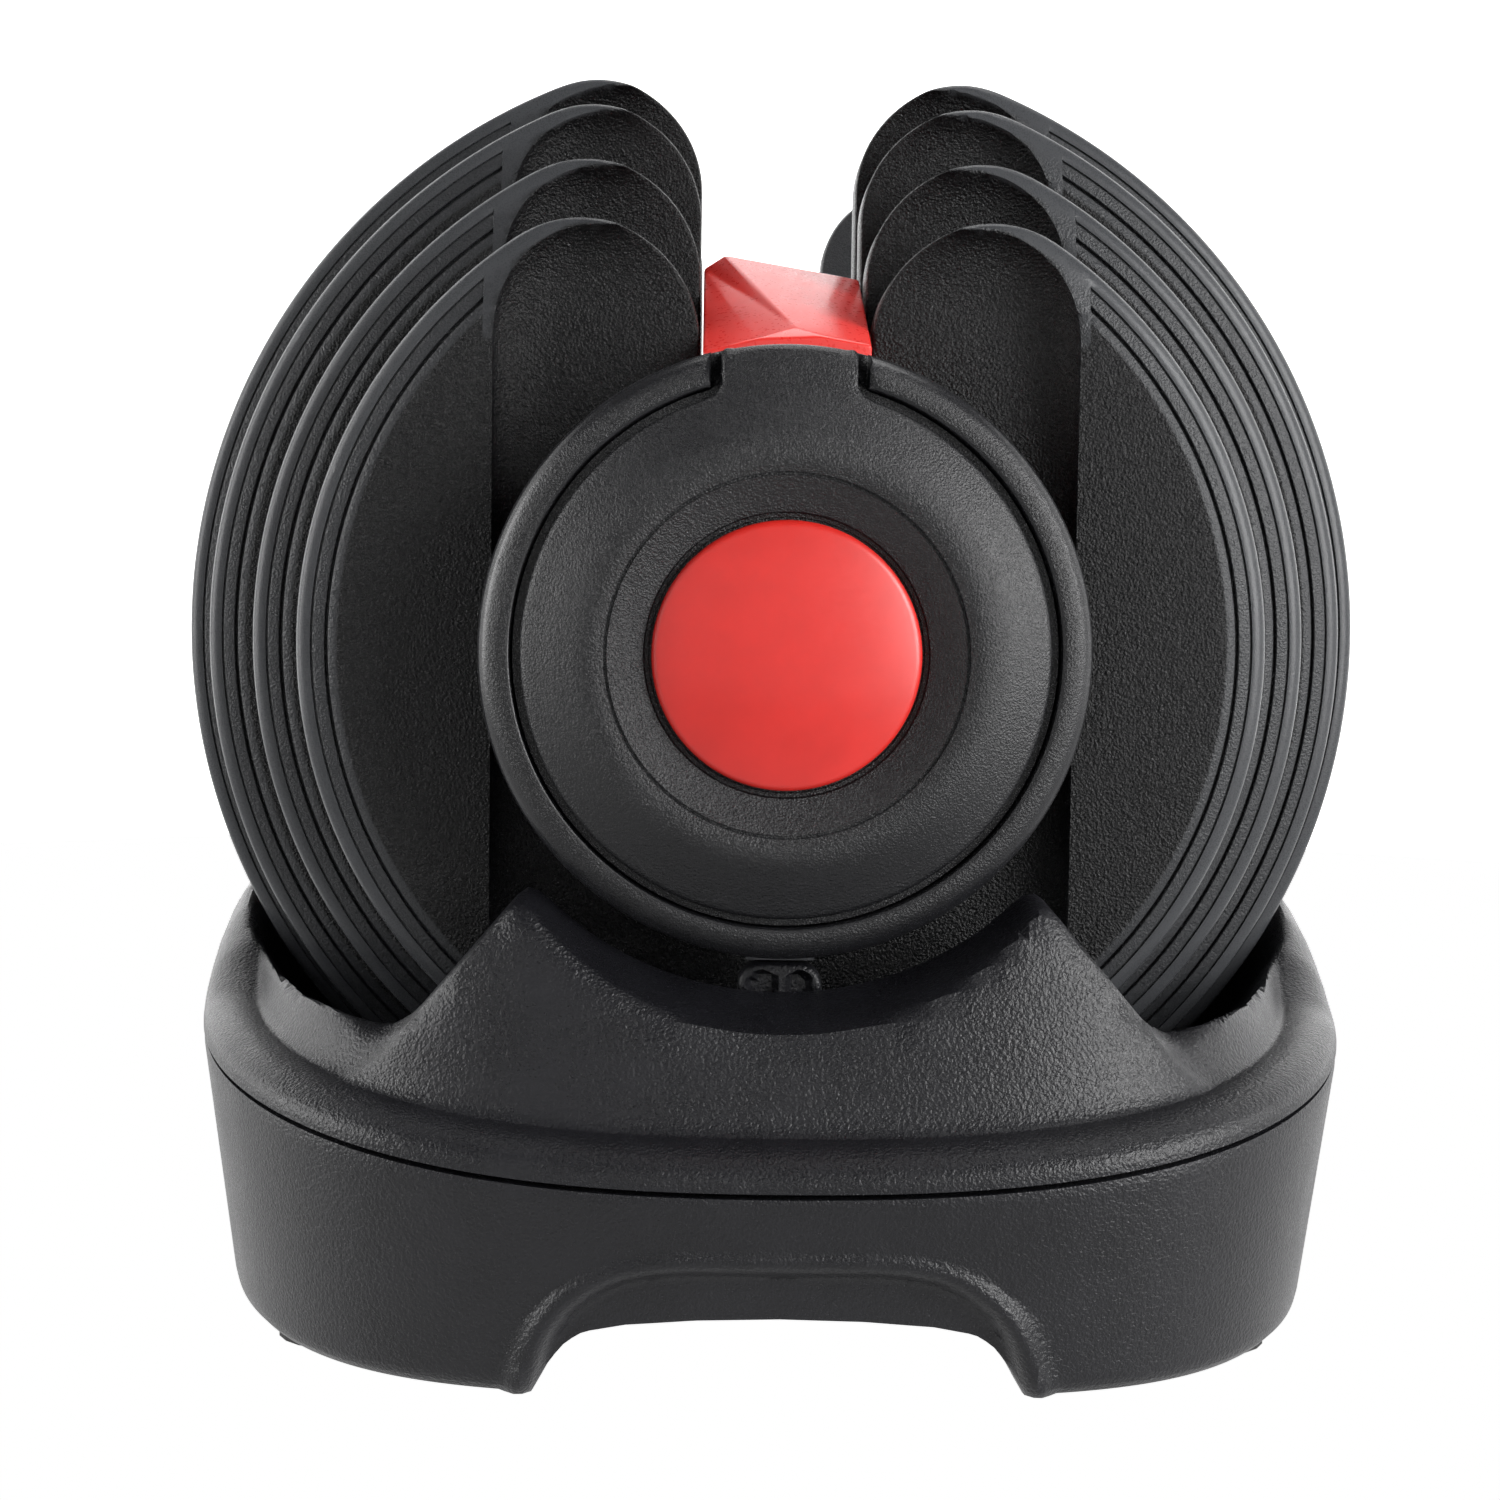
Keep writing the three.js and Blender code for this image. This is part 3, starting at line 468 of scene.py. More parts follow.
def rounded(corners, radius, steps=4):
    """A profile with each corner cut back and rounded. A corner is (a, b) or (a, b, its own radius)."""
    result = []
    count = len(corners)
    for i, corner in enumerate(corners):
        here = np.array(corner[:2], dtype=float)
        before = np.array(corners[i - 1][:2], dtype=float)
        after = np.array(corners[(i + 1) % count][:2], dtype=float)
        size = corner[2] if len(corner) > 2 else radius
        to_before, to_after = before - here, after - here
        limit = 0.45 * min(np.linalg.norm(to_before), np.linalg.norm(to_after))
        reach = min(size, limit)
        if reach < 0.02:
            result.append(tuple(here))
            continue
        start = here + to_before / np.linalg.norm(to_before) * reach
        end = here + to_after / np.linalg.norm(to_after) * reach
        for k in range(steps + 1):
            t = k / steps
            result.append(tuple((1 - t) ** 2 * start + 2 * t * (1 - t) * here + t ** 2 * end))
    return result


def box_shape(low, high, edge=0.3):
    """A box with cut corners along all its edges."""
    low, high = np.array(low, float), np.array(high, float)
    shape = bmesh.new()
    bmesh.ops.create_cube(shape, size=1.0)
    for vert in shape.verts:
        vert.co = Vector((low + high) / 2) + Vector(np.array(vert.co) * (high - low))
    if edge > 0:
        bmesh.ops.bevel(shape, geom=shape.edges[:], offset=edge, segments=2, affect="EDGES", profile=0.5)
    shape.verts.index_update()
    points = [tuple(v.co) for v in shape.verts]
    faces = [[v.index for v in f.verts] for f in shape.faces]
    shape.free()
    return points, faces


# ---------------------------------------------------------------- relief plates cut from an outline
def arc(centre, radius, start, end, step=1.2):
    count = max(4, int(abs(end - start) * radius / step))
    turns = np.linspace(start, end, count + 1)
    return [(centre[0] + radius * math.cos(t), centre[1] + radius * math.sin(t)) for t in turns]


def distance_to(outline, points):
    """Distance from each point to a closed outline, and whether it lies inside."""
    ends = np.array(outline)
    starts, finishes = ends, np.roll(ends, -1, axis=0)
    run = finishes - starts
    length = (run ** 2).sum(1) + 1e-12
    points = np.array(points, dtype=float).reshape(-1, 2)
    nearest = np.full(len(points), 1e9)
    inside = np.zeros(len(points), dtype=bool)
    for first in range(0, len(points), 4000):
        block = points[first:first + 4000, None, :]
        along = np.clip(((block - starts) * run).sum(2) / length, 0, 1)
        gap = block - (starts + along[:, :, None] * run)
        nearest[first:first + 4000] = np.sqrt((gap ** 2).sum(2).min(1))
        above = (starts[:, 1] > block[:, :, 1]) != (finishes[:, 1] > block[:, :, 1])
        rise = np.where(np.abs(run[:, 1]) < 1e-12, 1e-12, run[:, 1])
        crossing = starts[:, 0] + (block[:, :, 1] - starts[:, 1]) * run[:, 0] / rise
        inside[first:first + 4000] = ((above & (block[:, :, 0] < crossing)).sum(1) % 2).astype(bool)
    return nearest, inside


def outline_normals(outline):
    """Outward direction at each point of a closed outline."""
    points = np.array(outline)
    forward = np.roll(points, -1, axis=0) - np.roll(points, 1, axis=0)
    normals = np.stack([forward[:, 1], -forward[:, 0]], axis=1)
    normals /= np.linalg.norm(normals, axis=1)[:, None] + 1e-12
    x, y = points[:, 0], points[:, 1]
    area = 0.5 * (x * np.roll(y, -1) - y * np.roll(x, -1)).sum()
    return normals if area > 0 else -normals


def relief(outline, lines, spacing, margin=0.3, insets=(0.2, 0.45, 0.8)):
    """Triangles of an outline with feature lines, edge-following lines and grid points inside it."""
    normals = outline_normals(outline)
    chains = list(lines)
    for inset in insets:
        chains.append([tuple(p) for p in np.array(outline) - normals * inset])
    coords = [tuple(p) for p in outline]
    count = len(coords)
    edges = [(i, (i + 1) % count) for i in range(count)]
    for index, chain in enumerate(chains):
        near, inside = distance_to(outline, chain)
        follows_edge = index >= len(lines)
        least = 0.8 * insets[index - len(lines)] if follows_edge else margin
        previous = None
        for point, gap, is_in in zip(chain, near, inside):
            if not is_in or gap < least:
                previous = None
                continue
            coords.append(tuple(point))
            if previous is not None:
                edges.append((previous, len(coords) - 1))
            previous = len(coords) - 1
    bounds = np.array(outline)
    low, high = bounds.min(0), bounds.max(0)
    xs = np.arange(low[0], high[0], spacing)
    zs = np.arange(low[1], high[1], spacing)
    grid = np.stack(np.meshgrid(xs, zs), axis=-1).reshape(-1, 2)
    near, inside = distance_to(outline, grid)
    coords.extend(tuple(p) for p in grid[inside & (near > 1.2)])
    result = geometry.delaunay_2d_cdt([Vector(c) for c in coords], edges, [], 1, 1e-4, False)
    return keep_inside(outline, result[0], result[2])


def keep_inside(outline, verts, faces):
    """Only the triangles within the outline, and only the points that they use."""
    verts = np.array([tuple(v) for v in verts])
    faces = np.array([list(f) for f in faces])
    _, inside = distance_to(outline, verts[faces].mean(axis=1))
    faces = faces[inside]
    used = np.unique(faces)
    renumber = np.zeros(len(verts), dtype=int)
    renumber[used] = np.arange(len(used))
    return verts[used], renumber[faces].tolist()


def boundary_loops(faces):
    """The closed loops of edges that belong to one face only."""
    used = {}
    for face in faces:
        for a, b in zip(face, face[1:] + face[:1]):
            key = (min(a, b), max(a, b))
            used[key] = None if key in used else (a, b)
    after = {pair[0]: pair[1] for pair in used.values() if pair}
    loops = []
    while after:
        start, here = next(iter(after.items()))
        loop = [start]
        del after[start]
        while here != start:
            loop.append(here)
            here = after.pop(here)
        loops.append(loop)
    return loops


def relief_body(flat, faces, front, back, direction, back_edge=0.8):
    """A relief face with its side walls and a plain back. front is each point's distance along the axis."""
    points = [(x, direction * y, z) for (x, z), y in zip(flat, front)]
    shapes = [list(face) for face in faces]
    for loop in boundary_loops(faces):
        normals = outline_normals([tuple(flat[i]) for i in loop])
        previous = loop
        for inset, lift in ((0.0, back_edge), (0.3 * back_edge, 0.3 * back_edge), (back_edge, 0.0)):
            start = len(points)
            for i, normal in zip(loop, normals):
                x, z = flat[i] - normal * inset
                points.append((x, direction * (back + lift), z))
            ring = list(range(start, start + len(loop)))
            shapes += band(previous, ring)
            previous = ring
        shapes.append(previous)
    return points, shapes


def edge_round(distance, radius):
    """How far a rounded edge has dropped at a distance in from it."""
    reach = np.clip(radius - distance, 0, radius)
    return radius - np.sqrt(np.maximum(radius ** 2 - reach ** 2, 0))


# ---------------------------------------------------------------- weight plates
def horn_height(radius):
    """Height of the horns' centres above the axis."""
    return math.sqrt((radius - HORN_RADIUS) ** 2 - (SLOT_HALF + HORN_RADIUS) ** 2)


def plate_outline(radius):
    """The round edge, the two horns and the open slot, around the handle axis."""
    horn_x = SLOT_HALF + HORN_RADIUS
    horn_z = horn_height(radius)
    turn = math.atan2(horn_z, horn_x)
    outline = arc((0, 0), radius, turn, -math.pi - turn, 1.5)
    outline += arc((-horn_x, horn_z), HORN_RADIUS, math.pi - turn, 0, 1.0)[1:]
    outline += [(-SLOT_HALF, z) for z in np.arange(horn_z - 1.5, 0.5, -1.5)]
    outline += arc((0, 0), SLOT_HALF, math.pi, 2 * math.pi, 1.0)
    outline += [(SLOT_HALF, z) for z in np.arange(1.5, horn_z - 0.5, 1.5)]
    outline += arc((horn_x, horn_z), HORN_RADIUS, math.pi, turn, 1.0)[:-1]
    return outline


def plate_lines(radius):
    """Arcs along the rim's bands, and lines along the channel's coves."""
    lines = []
    for inset, _ in RIM_PROFILE[1:]:
        reach = radius - inset
        start = math.acos(min(1, GROOVE_START_X / reach))
        lines.append(arc((0, 0), reach, -start, start, 1.3))
        lines.append(arc((0, 0), reach, math.pi - start, math.pi + start, 1.3))
    for inset in (0.25, 0.7, 1.3, 2.4, 4.0, 5.4, 6.8):
        reach = radius - inset
        start = math.acos(min(1, (GROOVE_START_X - 0.3) / reach))
        lines.append(arc((0, 0), reach, start, math.pi - start, 1.5))
        lines.append(arc((0, 0), reach, -math.pi + start, -start, 1.5))
    cove = CHANNEL_HALF - CHANNEL_FLOOR_HALF
    turn_z = horn_height(radius)
    for sign in (-1, 1):
        for share in (0.0, 0.006, 0.03, 0.08, 0.16, 0.28, 0.45, 0.7, 1.0):
            x = CHANNEL_HALF - cove * share
            reach = (x - COVE_TURN_X) / (CHANNEL_HALF - COVE_TURN_X)
            line = [(sign * x, z) for z in np.arange(-radius, turn_z, 1.5)]
            for t in np.linspace(0, math.pi / 2, 16):
                across = (x - COVE_TURN_X) * math.cos(t)
                up = COVE_TURN_HEIGHT * reach * math.sin(t)
                line.append((sign * (COVE_TURN_X + across), turn_z + up))
            lines.append(line)
        for x in (GROOVE_START_X, GROOVE_START_X - 0.1):
            lines.append([(sign * x, z) for z in np.arange(-radius, radius, 1.5)])
    return lines


def cove_position(flat, radius):
    """Distance from the middle, measured so that the cove's edge turns in over each horn."""
    x = np.abs(flat[:, 0])
    across = np.clip(x - COVE_TURN_X, 0, None) / (CHANNEL_HALF - COVE_TURN_X)
    up = (flat[:, 1] - horn_height(radius)) / COVE_TURN_HEIGHT
    turned = COVE_TURN_X + (CHANNEL_HALF - COVE_TURN_X) * np.hypot(across, np.clip(up, 0, None))
    return np.where(up > 0, turned, x)


def plate_drop(flat, radius, outline):
    """How far each point of the outer face lies below its highest plane."""
    x = np.abs(flat[:, 0])
    inset = radius - np.hypot(flat[:, 0], flat[:, 1])
    banded = np.interp(inset, *zip(*RIM_PROFILE))
    plain = np.interp(inset, *zip(*RIM_PLAIN))
    rim = np.where(x > GROOVE_START_X - 0.05, banded, plain)
    share = (cove_position(flat, radius) - CHANNEL_FLOOR_HALF) / (CHANNEL_HALF - CHANNEL_FLOOR_HALF)
    cove = CHANNEL_DEPTH * np.sqrt(1 - np.clip(share, 0, 1) ** 2)
    near, _ = distance_to(outline, flat)
    return np.maximum(rim, cove) + edge_round(near, PLATE_EDGE)


def build_plates():
    for index in range(1, 5):
        low, high = box_mm(f"plate_rear_{index}")
        radius = high[0]
        outline = plate_outline(radius)
        flat, faces = relief(outline, plate_lines(radius), 3.0)
        drop = plate_drop(flat, radius, outline)
        inset = radius - np.hypot(flat[:, 0], flat[:, 1])
        # The grain value also sets the colour: where it is low, the coating takes its lighter smooth tone. This
        # paints light on the rim's outer band, over the horns beside the coves and, at 0.45, on the grooved
        # bands outside the channel.
        grain = np.clip((inset - SMOOTH_BAND) / 0.2, 0, 1)
        over_horn = (flat[:, 1] > horn_height(radius)) & (np.abs(flat[:, 0]) < GROOVE_START_X)
        turned = np.clip((CHANNEL_HALF + 0.2 - cove_position(flat, radius)) / 0.3, 0.25, 1)
        grain = np.where(over_horn, np.minimum(grain, turned), grain)
        banded = (inset < 6.6) & (np.abs(flat[:, 0]) > GROOVE_START_X)
        grain = np.where(banded, np.minimum(grain, 0.45), grain)
        for side, direction in SIDES:
            parts = Parts()
            placed = flat + np.array([0, AXIS_Z])
            points, shapes = relief_body(placed, faces, high[1] - drop, low[1], direction, 1.2)
            # The side walls and back take 0.6, which lightens them a little with the same painted light.
            values = list(grain) + [0.6] * (len(points) - len(grain))
            parts.add(points, shapes, values)
            floor = high[1] - CHANNEL_DEPTH
            ys = sorted((direction * (floor - 1), direction * (floor + LUG_DEPTH)))
            lug_low = (-LUG_HALF, ys[0], AXIS_Z - LUG_FAR)
            lug_high = (LUG_HALF, ys[1], AXIS_Z - LUG_NEAR)
            parts.add(*box_shape(lug_low, lug_high, 0.5))
            node = f"plate_{side}_{index}"
            make_piece(f"weight_{side}_{index}_shell", parts.points, parts.faces, PLATE_COATING,
                       f"weight_{side}_{index}", [node], 30, parts.grain)


# ---------------------------------------------------------------- end caps
def ring_outline(outer):
    """The cap's front ring, open at the top for the tab."""
    outer_turn = math.asin(NOTCH_HALF / outer)
    inner_turn = math.asin(NOTCH_HALF / RING_INNER)
    top = math.pi / 2
    outline = arc((0, 0), outer, top - outer_turn, top + outer_turn - 2 * math.pi, 0.9)
    outline += arc((0, 0), RING_INNER, top + inner_turn - 2 * math.pi, top - inner_turn, 0.9)
    return outline


def build_cap_ring(side, direction):
    back, front, outer = reach_mm(f"cap_ring_{side}")
    outer += 0.5
    outline = ring_outline(outer)
    lines = [arc((0, 0), outer - step, 0, 2 * math.pi, 1.2) for step in (0.35, 1, 2, 3, 3.8)]
    flat, faces = relief(outline, lines, 1.6, 0.25, (0.15, 0.4, 0.8))
    radius = np.hypot(flat[:, 0], flat[:, 1])
    profile = ((0, 3.2), (0.35, 2.2), (1, 1.35), (2, 0.6), (3, 0.12), (3.8, 0.0), (6, 0.05))
    near, _ = distance_to(outline, flat)
    drop = np.interp(outer - radius, *zip(*profile)) + edge_round(near, 0.55)
    parts = Parts()
    placed = flat + np.array([0, AXIS_Z])
    points, shapes = relief_body(placed, faces, front - drop, front - 4.6, direction, 0.05)
    # Painted light: the ring's rounded outer edge and a 0.5 mm strip along its outline stay smooth and take the
    # cap's lighter smooth tone. The side walls, the back and the drum are partly lightened the same way.
    grain = np.clip((outer - radius - 1.0) / 1.5, 0, 1) * np.clip((near - 0.5) / 0.2, 0, 1)
    parts.add(points, shapes, list(grain) + [0.3] * (len(points) - len(grain)))
    wall = outer - 2.4
    drum = rounded([
        (HUB_HOLE, back), (wall - 2, back, 0.8), (wall, back + 2, 0.8), (outer, front - 4.55, 0.3),
        (RING_INNER, front - 4.55, 0.2), (RING_INNER, back + 1.6, 0.8), (HUB_HOLE, back + 1.6),
    ], 0.3, 3)
    parts.add(*lathe(drum, direction, 120), 0.4)
    ring = make_piece(f"cap_{side}_ring", parts.points, parts.faces, CAP_PLASTIC, "handle",
                      [f"cap_ring_{side}"], 30, parts.grain)
    foot_low, foot_high = box_mm(f"lock_slider_{side}")
    cut_box(ring, (-6, foot_low[1] - 0.6, foot_low[2] - 8), (6, foot_high[1] + 0.6, AXIS_Z - 30))
    bar_low, bar_high = box_mm(f"spine_bar_{side}")
    cut_near, cut_far = sorted((direction * (back - 1), direction * (back + 4)))
    cut_box(ring, (bar_low[0] - 0.4, cut_near, bar_low[2] - 0.4),
            (bar_high[0] + 0.4, cut_far, bar_high[2] + 0.4))


def disc_outline(radius):
    """The cap's round face with its square tab at the top."""
    fillet = 3.0
    centre_x = TAB_HALF + fillet
    centre_z = math.sqrt((radius + fillet) ** 2 - centre_x ** 2)
    meet = math.atan2(centre_z, centre_x)
    outline = arc((0, 0), radius, meet, -math.pi - meet, 0.9)
    outline += arc((-centre_x, centre_z), fillet, -meet, 0, 0.4)[1:]
    turn = math.asin((TAB_HALF - 1) / TAB_TOP)
    shoulder = TAB_TOP * math.cos(turn) - 0.8
    outline += arc((-TAB_HALF + 1, shoulder), 1.0, math.pi, math.pi / 2 + turn, 0.3)
    outline += arc((0, 0), TAB_TOP, math.pi / 2 + turn, math.pi / 2 - turn, 0.8)[1:-1]
    outline += arc((TAB_HALF - 1, shoulder), 1.0, math.pi / 2 - turn, 0, 0.3)
    outline += arc((centre_x, centre_z), fillet, math.pi, math.pi + meet, 0.4)[:-1]
    return outline


def build_cap_disc(side, direction):
    _, front, _ = reach_mm(f"cap_disc_{side}")
    _, _, badge = reach_mm(f"badge_{side}")
    outline = disc_outline(SHELF_RADIUS)
    profile = (                    # radius, drop below the face's highest ring
        (0, 3.8), (badge + 0.35, 3.8), (badge + 0.45, 3.4), (badge + 1.0, 3.3), (badge + 1.2, 2.5),
        (22.5, 1.85), (25.6, 0.62), (25.7, 0.9), (26.0, 0.9), (26.1, 0.42), (27.2, 0.1), (28.2, 0),
        (29.2, 0.14), (30.4, 0.55), (33, 1.75), (36, 3.3), (38.2, 4.35), (40.5, 5.1), (42.4, 5.6),
        (43.6, 6.2), (TAB_TOP, 7.0),
    )
    face_edge = disc_outline(FACE_RADIUS)
    lines = [arc((0, 0), r, 0, 2 * math.pi, 1.1) for r, _ in profile[1:16]]
    lines += [arc((0, 0), r, 0, 2 * math.pi, 1.1) for r in (31.5, 34.5)]
    lines += [arc((0, 0), r, math.radians(72), math.radians(108), 0.8) for r in (40.5, 42.4, 43.6)]
    for step in (0.06, -0.06, -0.25, -0.5, -0.8):
        lines.append([tuple(p) for p in np.array(face_edge) + outline_normals(face_edge) * step])
    flat, faces = relief(outline, lines, 2.0, 0.15, (0.15, 0.4, 0.8))
    reach = np.hypot(flat[:, 0], flat[:, 1])
    near, inside = distance_to(face_edge, flat)
    edge_near, _ = distance_to(outline, flat)
    on_face = inside | (edge_near < 0.01) & (reach > SHELF_RADIUS + 0.3)
    face = front - np.interp(reach, *zip(*profile)) - edge_round(near, 0.8)
    height = np.where(on_face, face, front - 7.4)
    placed = flat + np.array([0, AXIS_Z])
    points, shapes = relief_body(placed, faces, height, front - 9.4, direction, 0.3)
    # Painted light: the face's outer slope is mixed about a third of the way to the cap's lighter smooth tone,
    # and the side walls and back most of the way.
    grain = 1.0 - np.clip((reach - 29.5) / 3.0, 0, 1) * 0.35
    values = list(grain) + [0.3] * (len(points) - len(grain))
    make_piece(f"cap_{side}_face", points, shapes, CAP_PLASTIC, "handle", [f"cap_disc_{side}"],
               30, values)


def build_badge(side, direction):
    back, front, radius = reach_mm(f"badge_{side}")
    edge = back + 1.3
    profile = [(0, back), (radius, back), (radius, edge)]
    for k in range(1, 7):
        turn = k / 6 * math.radians(72)
        profile.append((radius - 1.5 * (1 - math.cos(turn)), edge + 1.2 * math.sin(turn)))
    rim_radius, rim_y = profile[-1]
    for k in range(1, 15):
        share = 1 - k / 14
        profile.append((rim_radius * share, front - (front - rim_y) * share ** 2.2))
    points, faces = lathe(profile, direction, 120)
    make_piece(f"cap_{side}_badge", points, faces, BADGE_PLASTIC, "handle", [f"badge_{side}"],
               40)


# ---------------------------------------------------------------- red slot keys
def key_corners(side):
    """The corners of a key: its foot, its end towards the hand, its peak and its sloping front."""
    start, end, half = reach_mm(f"slot_key_{side}")
    half += 0.6
    bottom, top = (corner[2] for corner in box_mm(f"slot_key_{side}"))
    peak_y = 98.0
    return [
        (-half, start, bottom), (half, start, bottom), (half, end, bottom), (-half, end, bottom),
        (-half, start, top - 6), (-half + 3.2, start, top - 4),
        (half - 3.4, start, top - 4.6), (half, start, top - 7),
        (-half, peak_y, top - 2.2), (-half + 3.4, peak_y, top),
        (half - 3.2, peak_y, top - 3.0), (half, peak_y, top - 3.6),
        (-half, end, bottom + 12.4), (half, end, bottom + 13.7),
        (-4.6, end, bottom + 14.4), (5.4, end, bottom + 14.9), (1.1, end - 2.2, bottom + 16.4),
    ]


def build_key(side, direction):
    """A block whose sloping front is split by a slanted crease, with a small triangle at its foot."""
    shape = bmesh.new()
    verts = [shape.verts.new((-direction * x, direction * y, z)) for x, y, z in key_corners(side)]
    for face in KEY_FACES:
        shape.faces.new([verts[i] for i in face])
    bmesh.ops.recalc_face_normals(shape, faces=shape.faces)
    flat_edges = [e for e in shape.edges if e.calc_face_angle(0) < math.radians(2.5)]
    bmesh.ops.dissolve_edges(shape, edges=flat_edges)
    bmesh.ops.bevel(shape, geom=shape.edges[:], offset=0.45, segments=3, affect="EDGES", profile=0.5,
                    clamp_overlap=True)
    bmesh.ops.triangulate(shape, faces=[f for f in shape.faces if len(f.verts) > 4])
    shape.verts.index_update()
    points = [tuple(v.co) for v in shape.verts]
    shapes = [[v.index for v in f.verts] for f in shape.faces]
    shape.free()
    make_piece(f"slot_key_{side}_block", points, shapes, RED_PLASTIC, "handle", [f"slot_key_{side}"],
               25)


# ---------------------------------------------------------------- handle
def build_guard(side, direction):
    near, far, radius = reach_mm(f"inner_guard_{side}")
    profile = rounded([
        (HUB_HOLE, near), (20, near, 0.5), (20.6, near + 0.9, 0.4), (22, near + 0.9, 0.4), (22.6, near, 0.5),
        (radius - 6.6, near, 0.5), (radius - 6, near + 0.8, 0.3), (radius - 5, near + 0.8, 0.3),
        (radius - 4.4, near + 0.2, 0.4), (radius, near + 2.6, 1.2), (radius, far - 2, 0.9),
        (radius - 2, far, 0.9), (HUB_HOLE, far),
    ], 0.5, 4)
    points, faces = lathe(profile, direction, 128)
    make_piece(f"guard_{side}_disc", points, faces, CAP_PLASTIC, "handle", [f"inner_guard_{side}"],
               30, [0.8] * len(points))


def knurl_tree(material):
    """A node tree that stands a small four-sided point on the grip at every vertex it is given."""
    tree = bpy.data.node_groups.new("knurl_points", "GeometryNodeTree")
    face = tree.interface
    face.new_socket(name="Geometry", in_out="INPUT", socket_type="NodeSocketGeometry")
    width = face.new_socket(name="Point width", in_out="INPUT", socket_type="NodeSocketFloat")
    height = face.new_socket(name="Point height", in_out="INPUT", socket_type="NodeSocketFloat")
    face.new_socket(name="Geometry", in_out="OUTPUT", socket_type="NodeSocketGeometry")

    def add(kind, feeds):
        node = tree.nodes.new(kind)
        for name, source in feeds.items():
            tree.links.new(source, node.inputs[name])
        return node

    seeds = add("NodeGroupInput", {}).outputs
    cone = add("GeometryNodeMeshCone", {"Radius Bottom": seeds["Point width"], "Depth": seeds["Point height"]})
    cone.inputs["Vertices"].default_value = 4
    cone.inputs["Radius Top"].default_value = 0.0
    position = add("GeometryNodeInputPosition", {})
    split = add("ShaderNodeSeparateXYZ", {0: position.outputs[0]})
    lower = add("ShaderNodeMath", {0: split.outputs["Z"]})
    lower.operation = "SUBTRACT"
    lower.inputs[1].default_value = AXIS_Z * MM
    outward = add("ShaderNodeCombineXYZ", {"X": split.outputs["X"], "Z": lower.outputs[0]})
    aim = add("FunctionNodeAlignRotationToVector", {"Vector": outward.outputs[0]})
    aim.axis = "Z"
    feeds = {"Points": seeds["Geometry"], "Instance": cone.outputs["Mesh"], "Rotation": aim.outputs["Rotation"]}
    place = add("GeometryNodeInstanceOnPoints", feeds)
    real = add("GeometryNodeRealizeInstances", {"Geometry": place.outputs["Instances"]})
    paint = add("GeometryNodeSetMaterial", {"Geometry": real.outputs["Geometry"]})
    paint.inputs["Material"].default_value = material
    add("NodeGroupOutput", {"Geometry": paint.outputs["Geometry"]})
    return tree, width.identifier, height.identifier


def grip_radius(y, ends, middle, length):
    """The grip swells from its ends to its middle."""
    share = np.clip(np.abs(y) / length, 0, 1)
    return middle - (middle - ends) * share ** 2


def knurl_seeds(ends, middle, length):
    """The grip's staggered rows of points, as an object with one vertex for each."""
    points = []
    for row in range(KNURL_ROWS):
        y = -KNURL_HALF + 2 * KNURL_HALF * row / (KNURL_ROWS - 1)
        radius = grip_radius(y, ends, middle, length) + 0.12
        for k in range(KNURL_AROUND):
            turn = 2 * math.pi * (k + 0.5 * (row % 2)) / KNURL_AROUND
            x, z = radius * math.cos(turn), AXIS_Z + radius * math.sin(turn)
            points.append((x * MM, y * MM, z * MM))
    mesh = bpy.data.meshes.new("knurl_seeds")
    mesh.from_pydata(points, [], [])
    holder = bpy.data.objects.new("knurl_seeds", mesh)
    bpy.context.scene.collection.objects.link(holder)
    return holder


def knurl_shape(holder):
    """Points and faces of the whole knurl, made from its seeds."""
    tree, width_id, height_id = knurl_tree(GRIP_METAL)
    modifier = holder.modifiers.new("knurl", "NODES")
    modifier.node_group = tree
    modifier[width_id] = KNURL_WIDTH * MM
    modifier[height_id] = KNURL_HEIGHT * MM
    graph = bpy.context.evaluated_depsgraph_get()
    graph.update()
    mesh = bpy.data.meshes.new_from_object(holder.evaluated_get(graph))
    bpy.data.objects.remove(holder)
    return [tuple(v.co / MM) for v in mesh.vertices], [list(p.vertices) for p in mesh.polygons]


def build_grip():
    collar, end, _ = box_mm("grip_sleeve")[1]
    ends, middle = collar - 2.0, collar - 0.7
    outer = [(collar, -end), (collar, -end + 2.6), (collar - 0.4, -end + 3.1), (ends, -end + 3.6)]
    for y in np.linspace(-end + 5, end - 5, 31):
        outer.append((float(grip_radius(y, ends, middle, end)), float(y)))
    outer += [(ends, end - 3.6), (collar - 0.4, end - 3.1), (collar, end - 2.6), (collar, end)]
    sleeve = [(HUB_HOLE, -end)] + outer + [(HUB_HOLE, end)]
    parts = Parts()
    parts.add(*lathe(sleeve, 1, 96))
    parts.add(*knurl_shape(knurl_seeds(ends, middle, end)))
    make_piece("grip_knurled_sleeve", parts.points, parts.faces, GRIP_METAL, "selector", ["grip_sleeve"],
               25)


# ---------------------------------------------------------------- cradle

def plan_points(turns, inset):
    """Points of the cradle's rounded plan, pulled in by inset."""
    power = 2 / TRAY_POWER
    c, s = np.cos(turns), np.sin(turns)
    x = TRAY_HALF_X * np.sign(c) * np.abs(c) ** power
    y = TRAY_HALF_Y * np.sign(s) * np.abs(s) ** power
    # direction at right angles to the edge
    nx = np.sign(x) * (np.abs(x) / TRAY_HALF_X) ** (TRAY_POWER - 1) / TRAY_HALF_X
    ny = np.sign(y) * (np.abs(y) / TRAY_HALF_Y) ** (TRAY_POWER - 1) / TRAY_HALF_Y
    length = np.hypot(nx, ny)
    return x - inset * nx / length, y - inset * ny / length


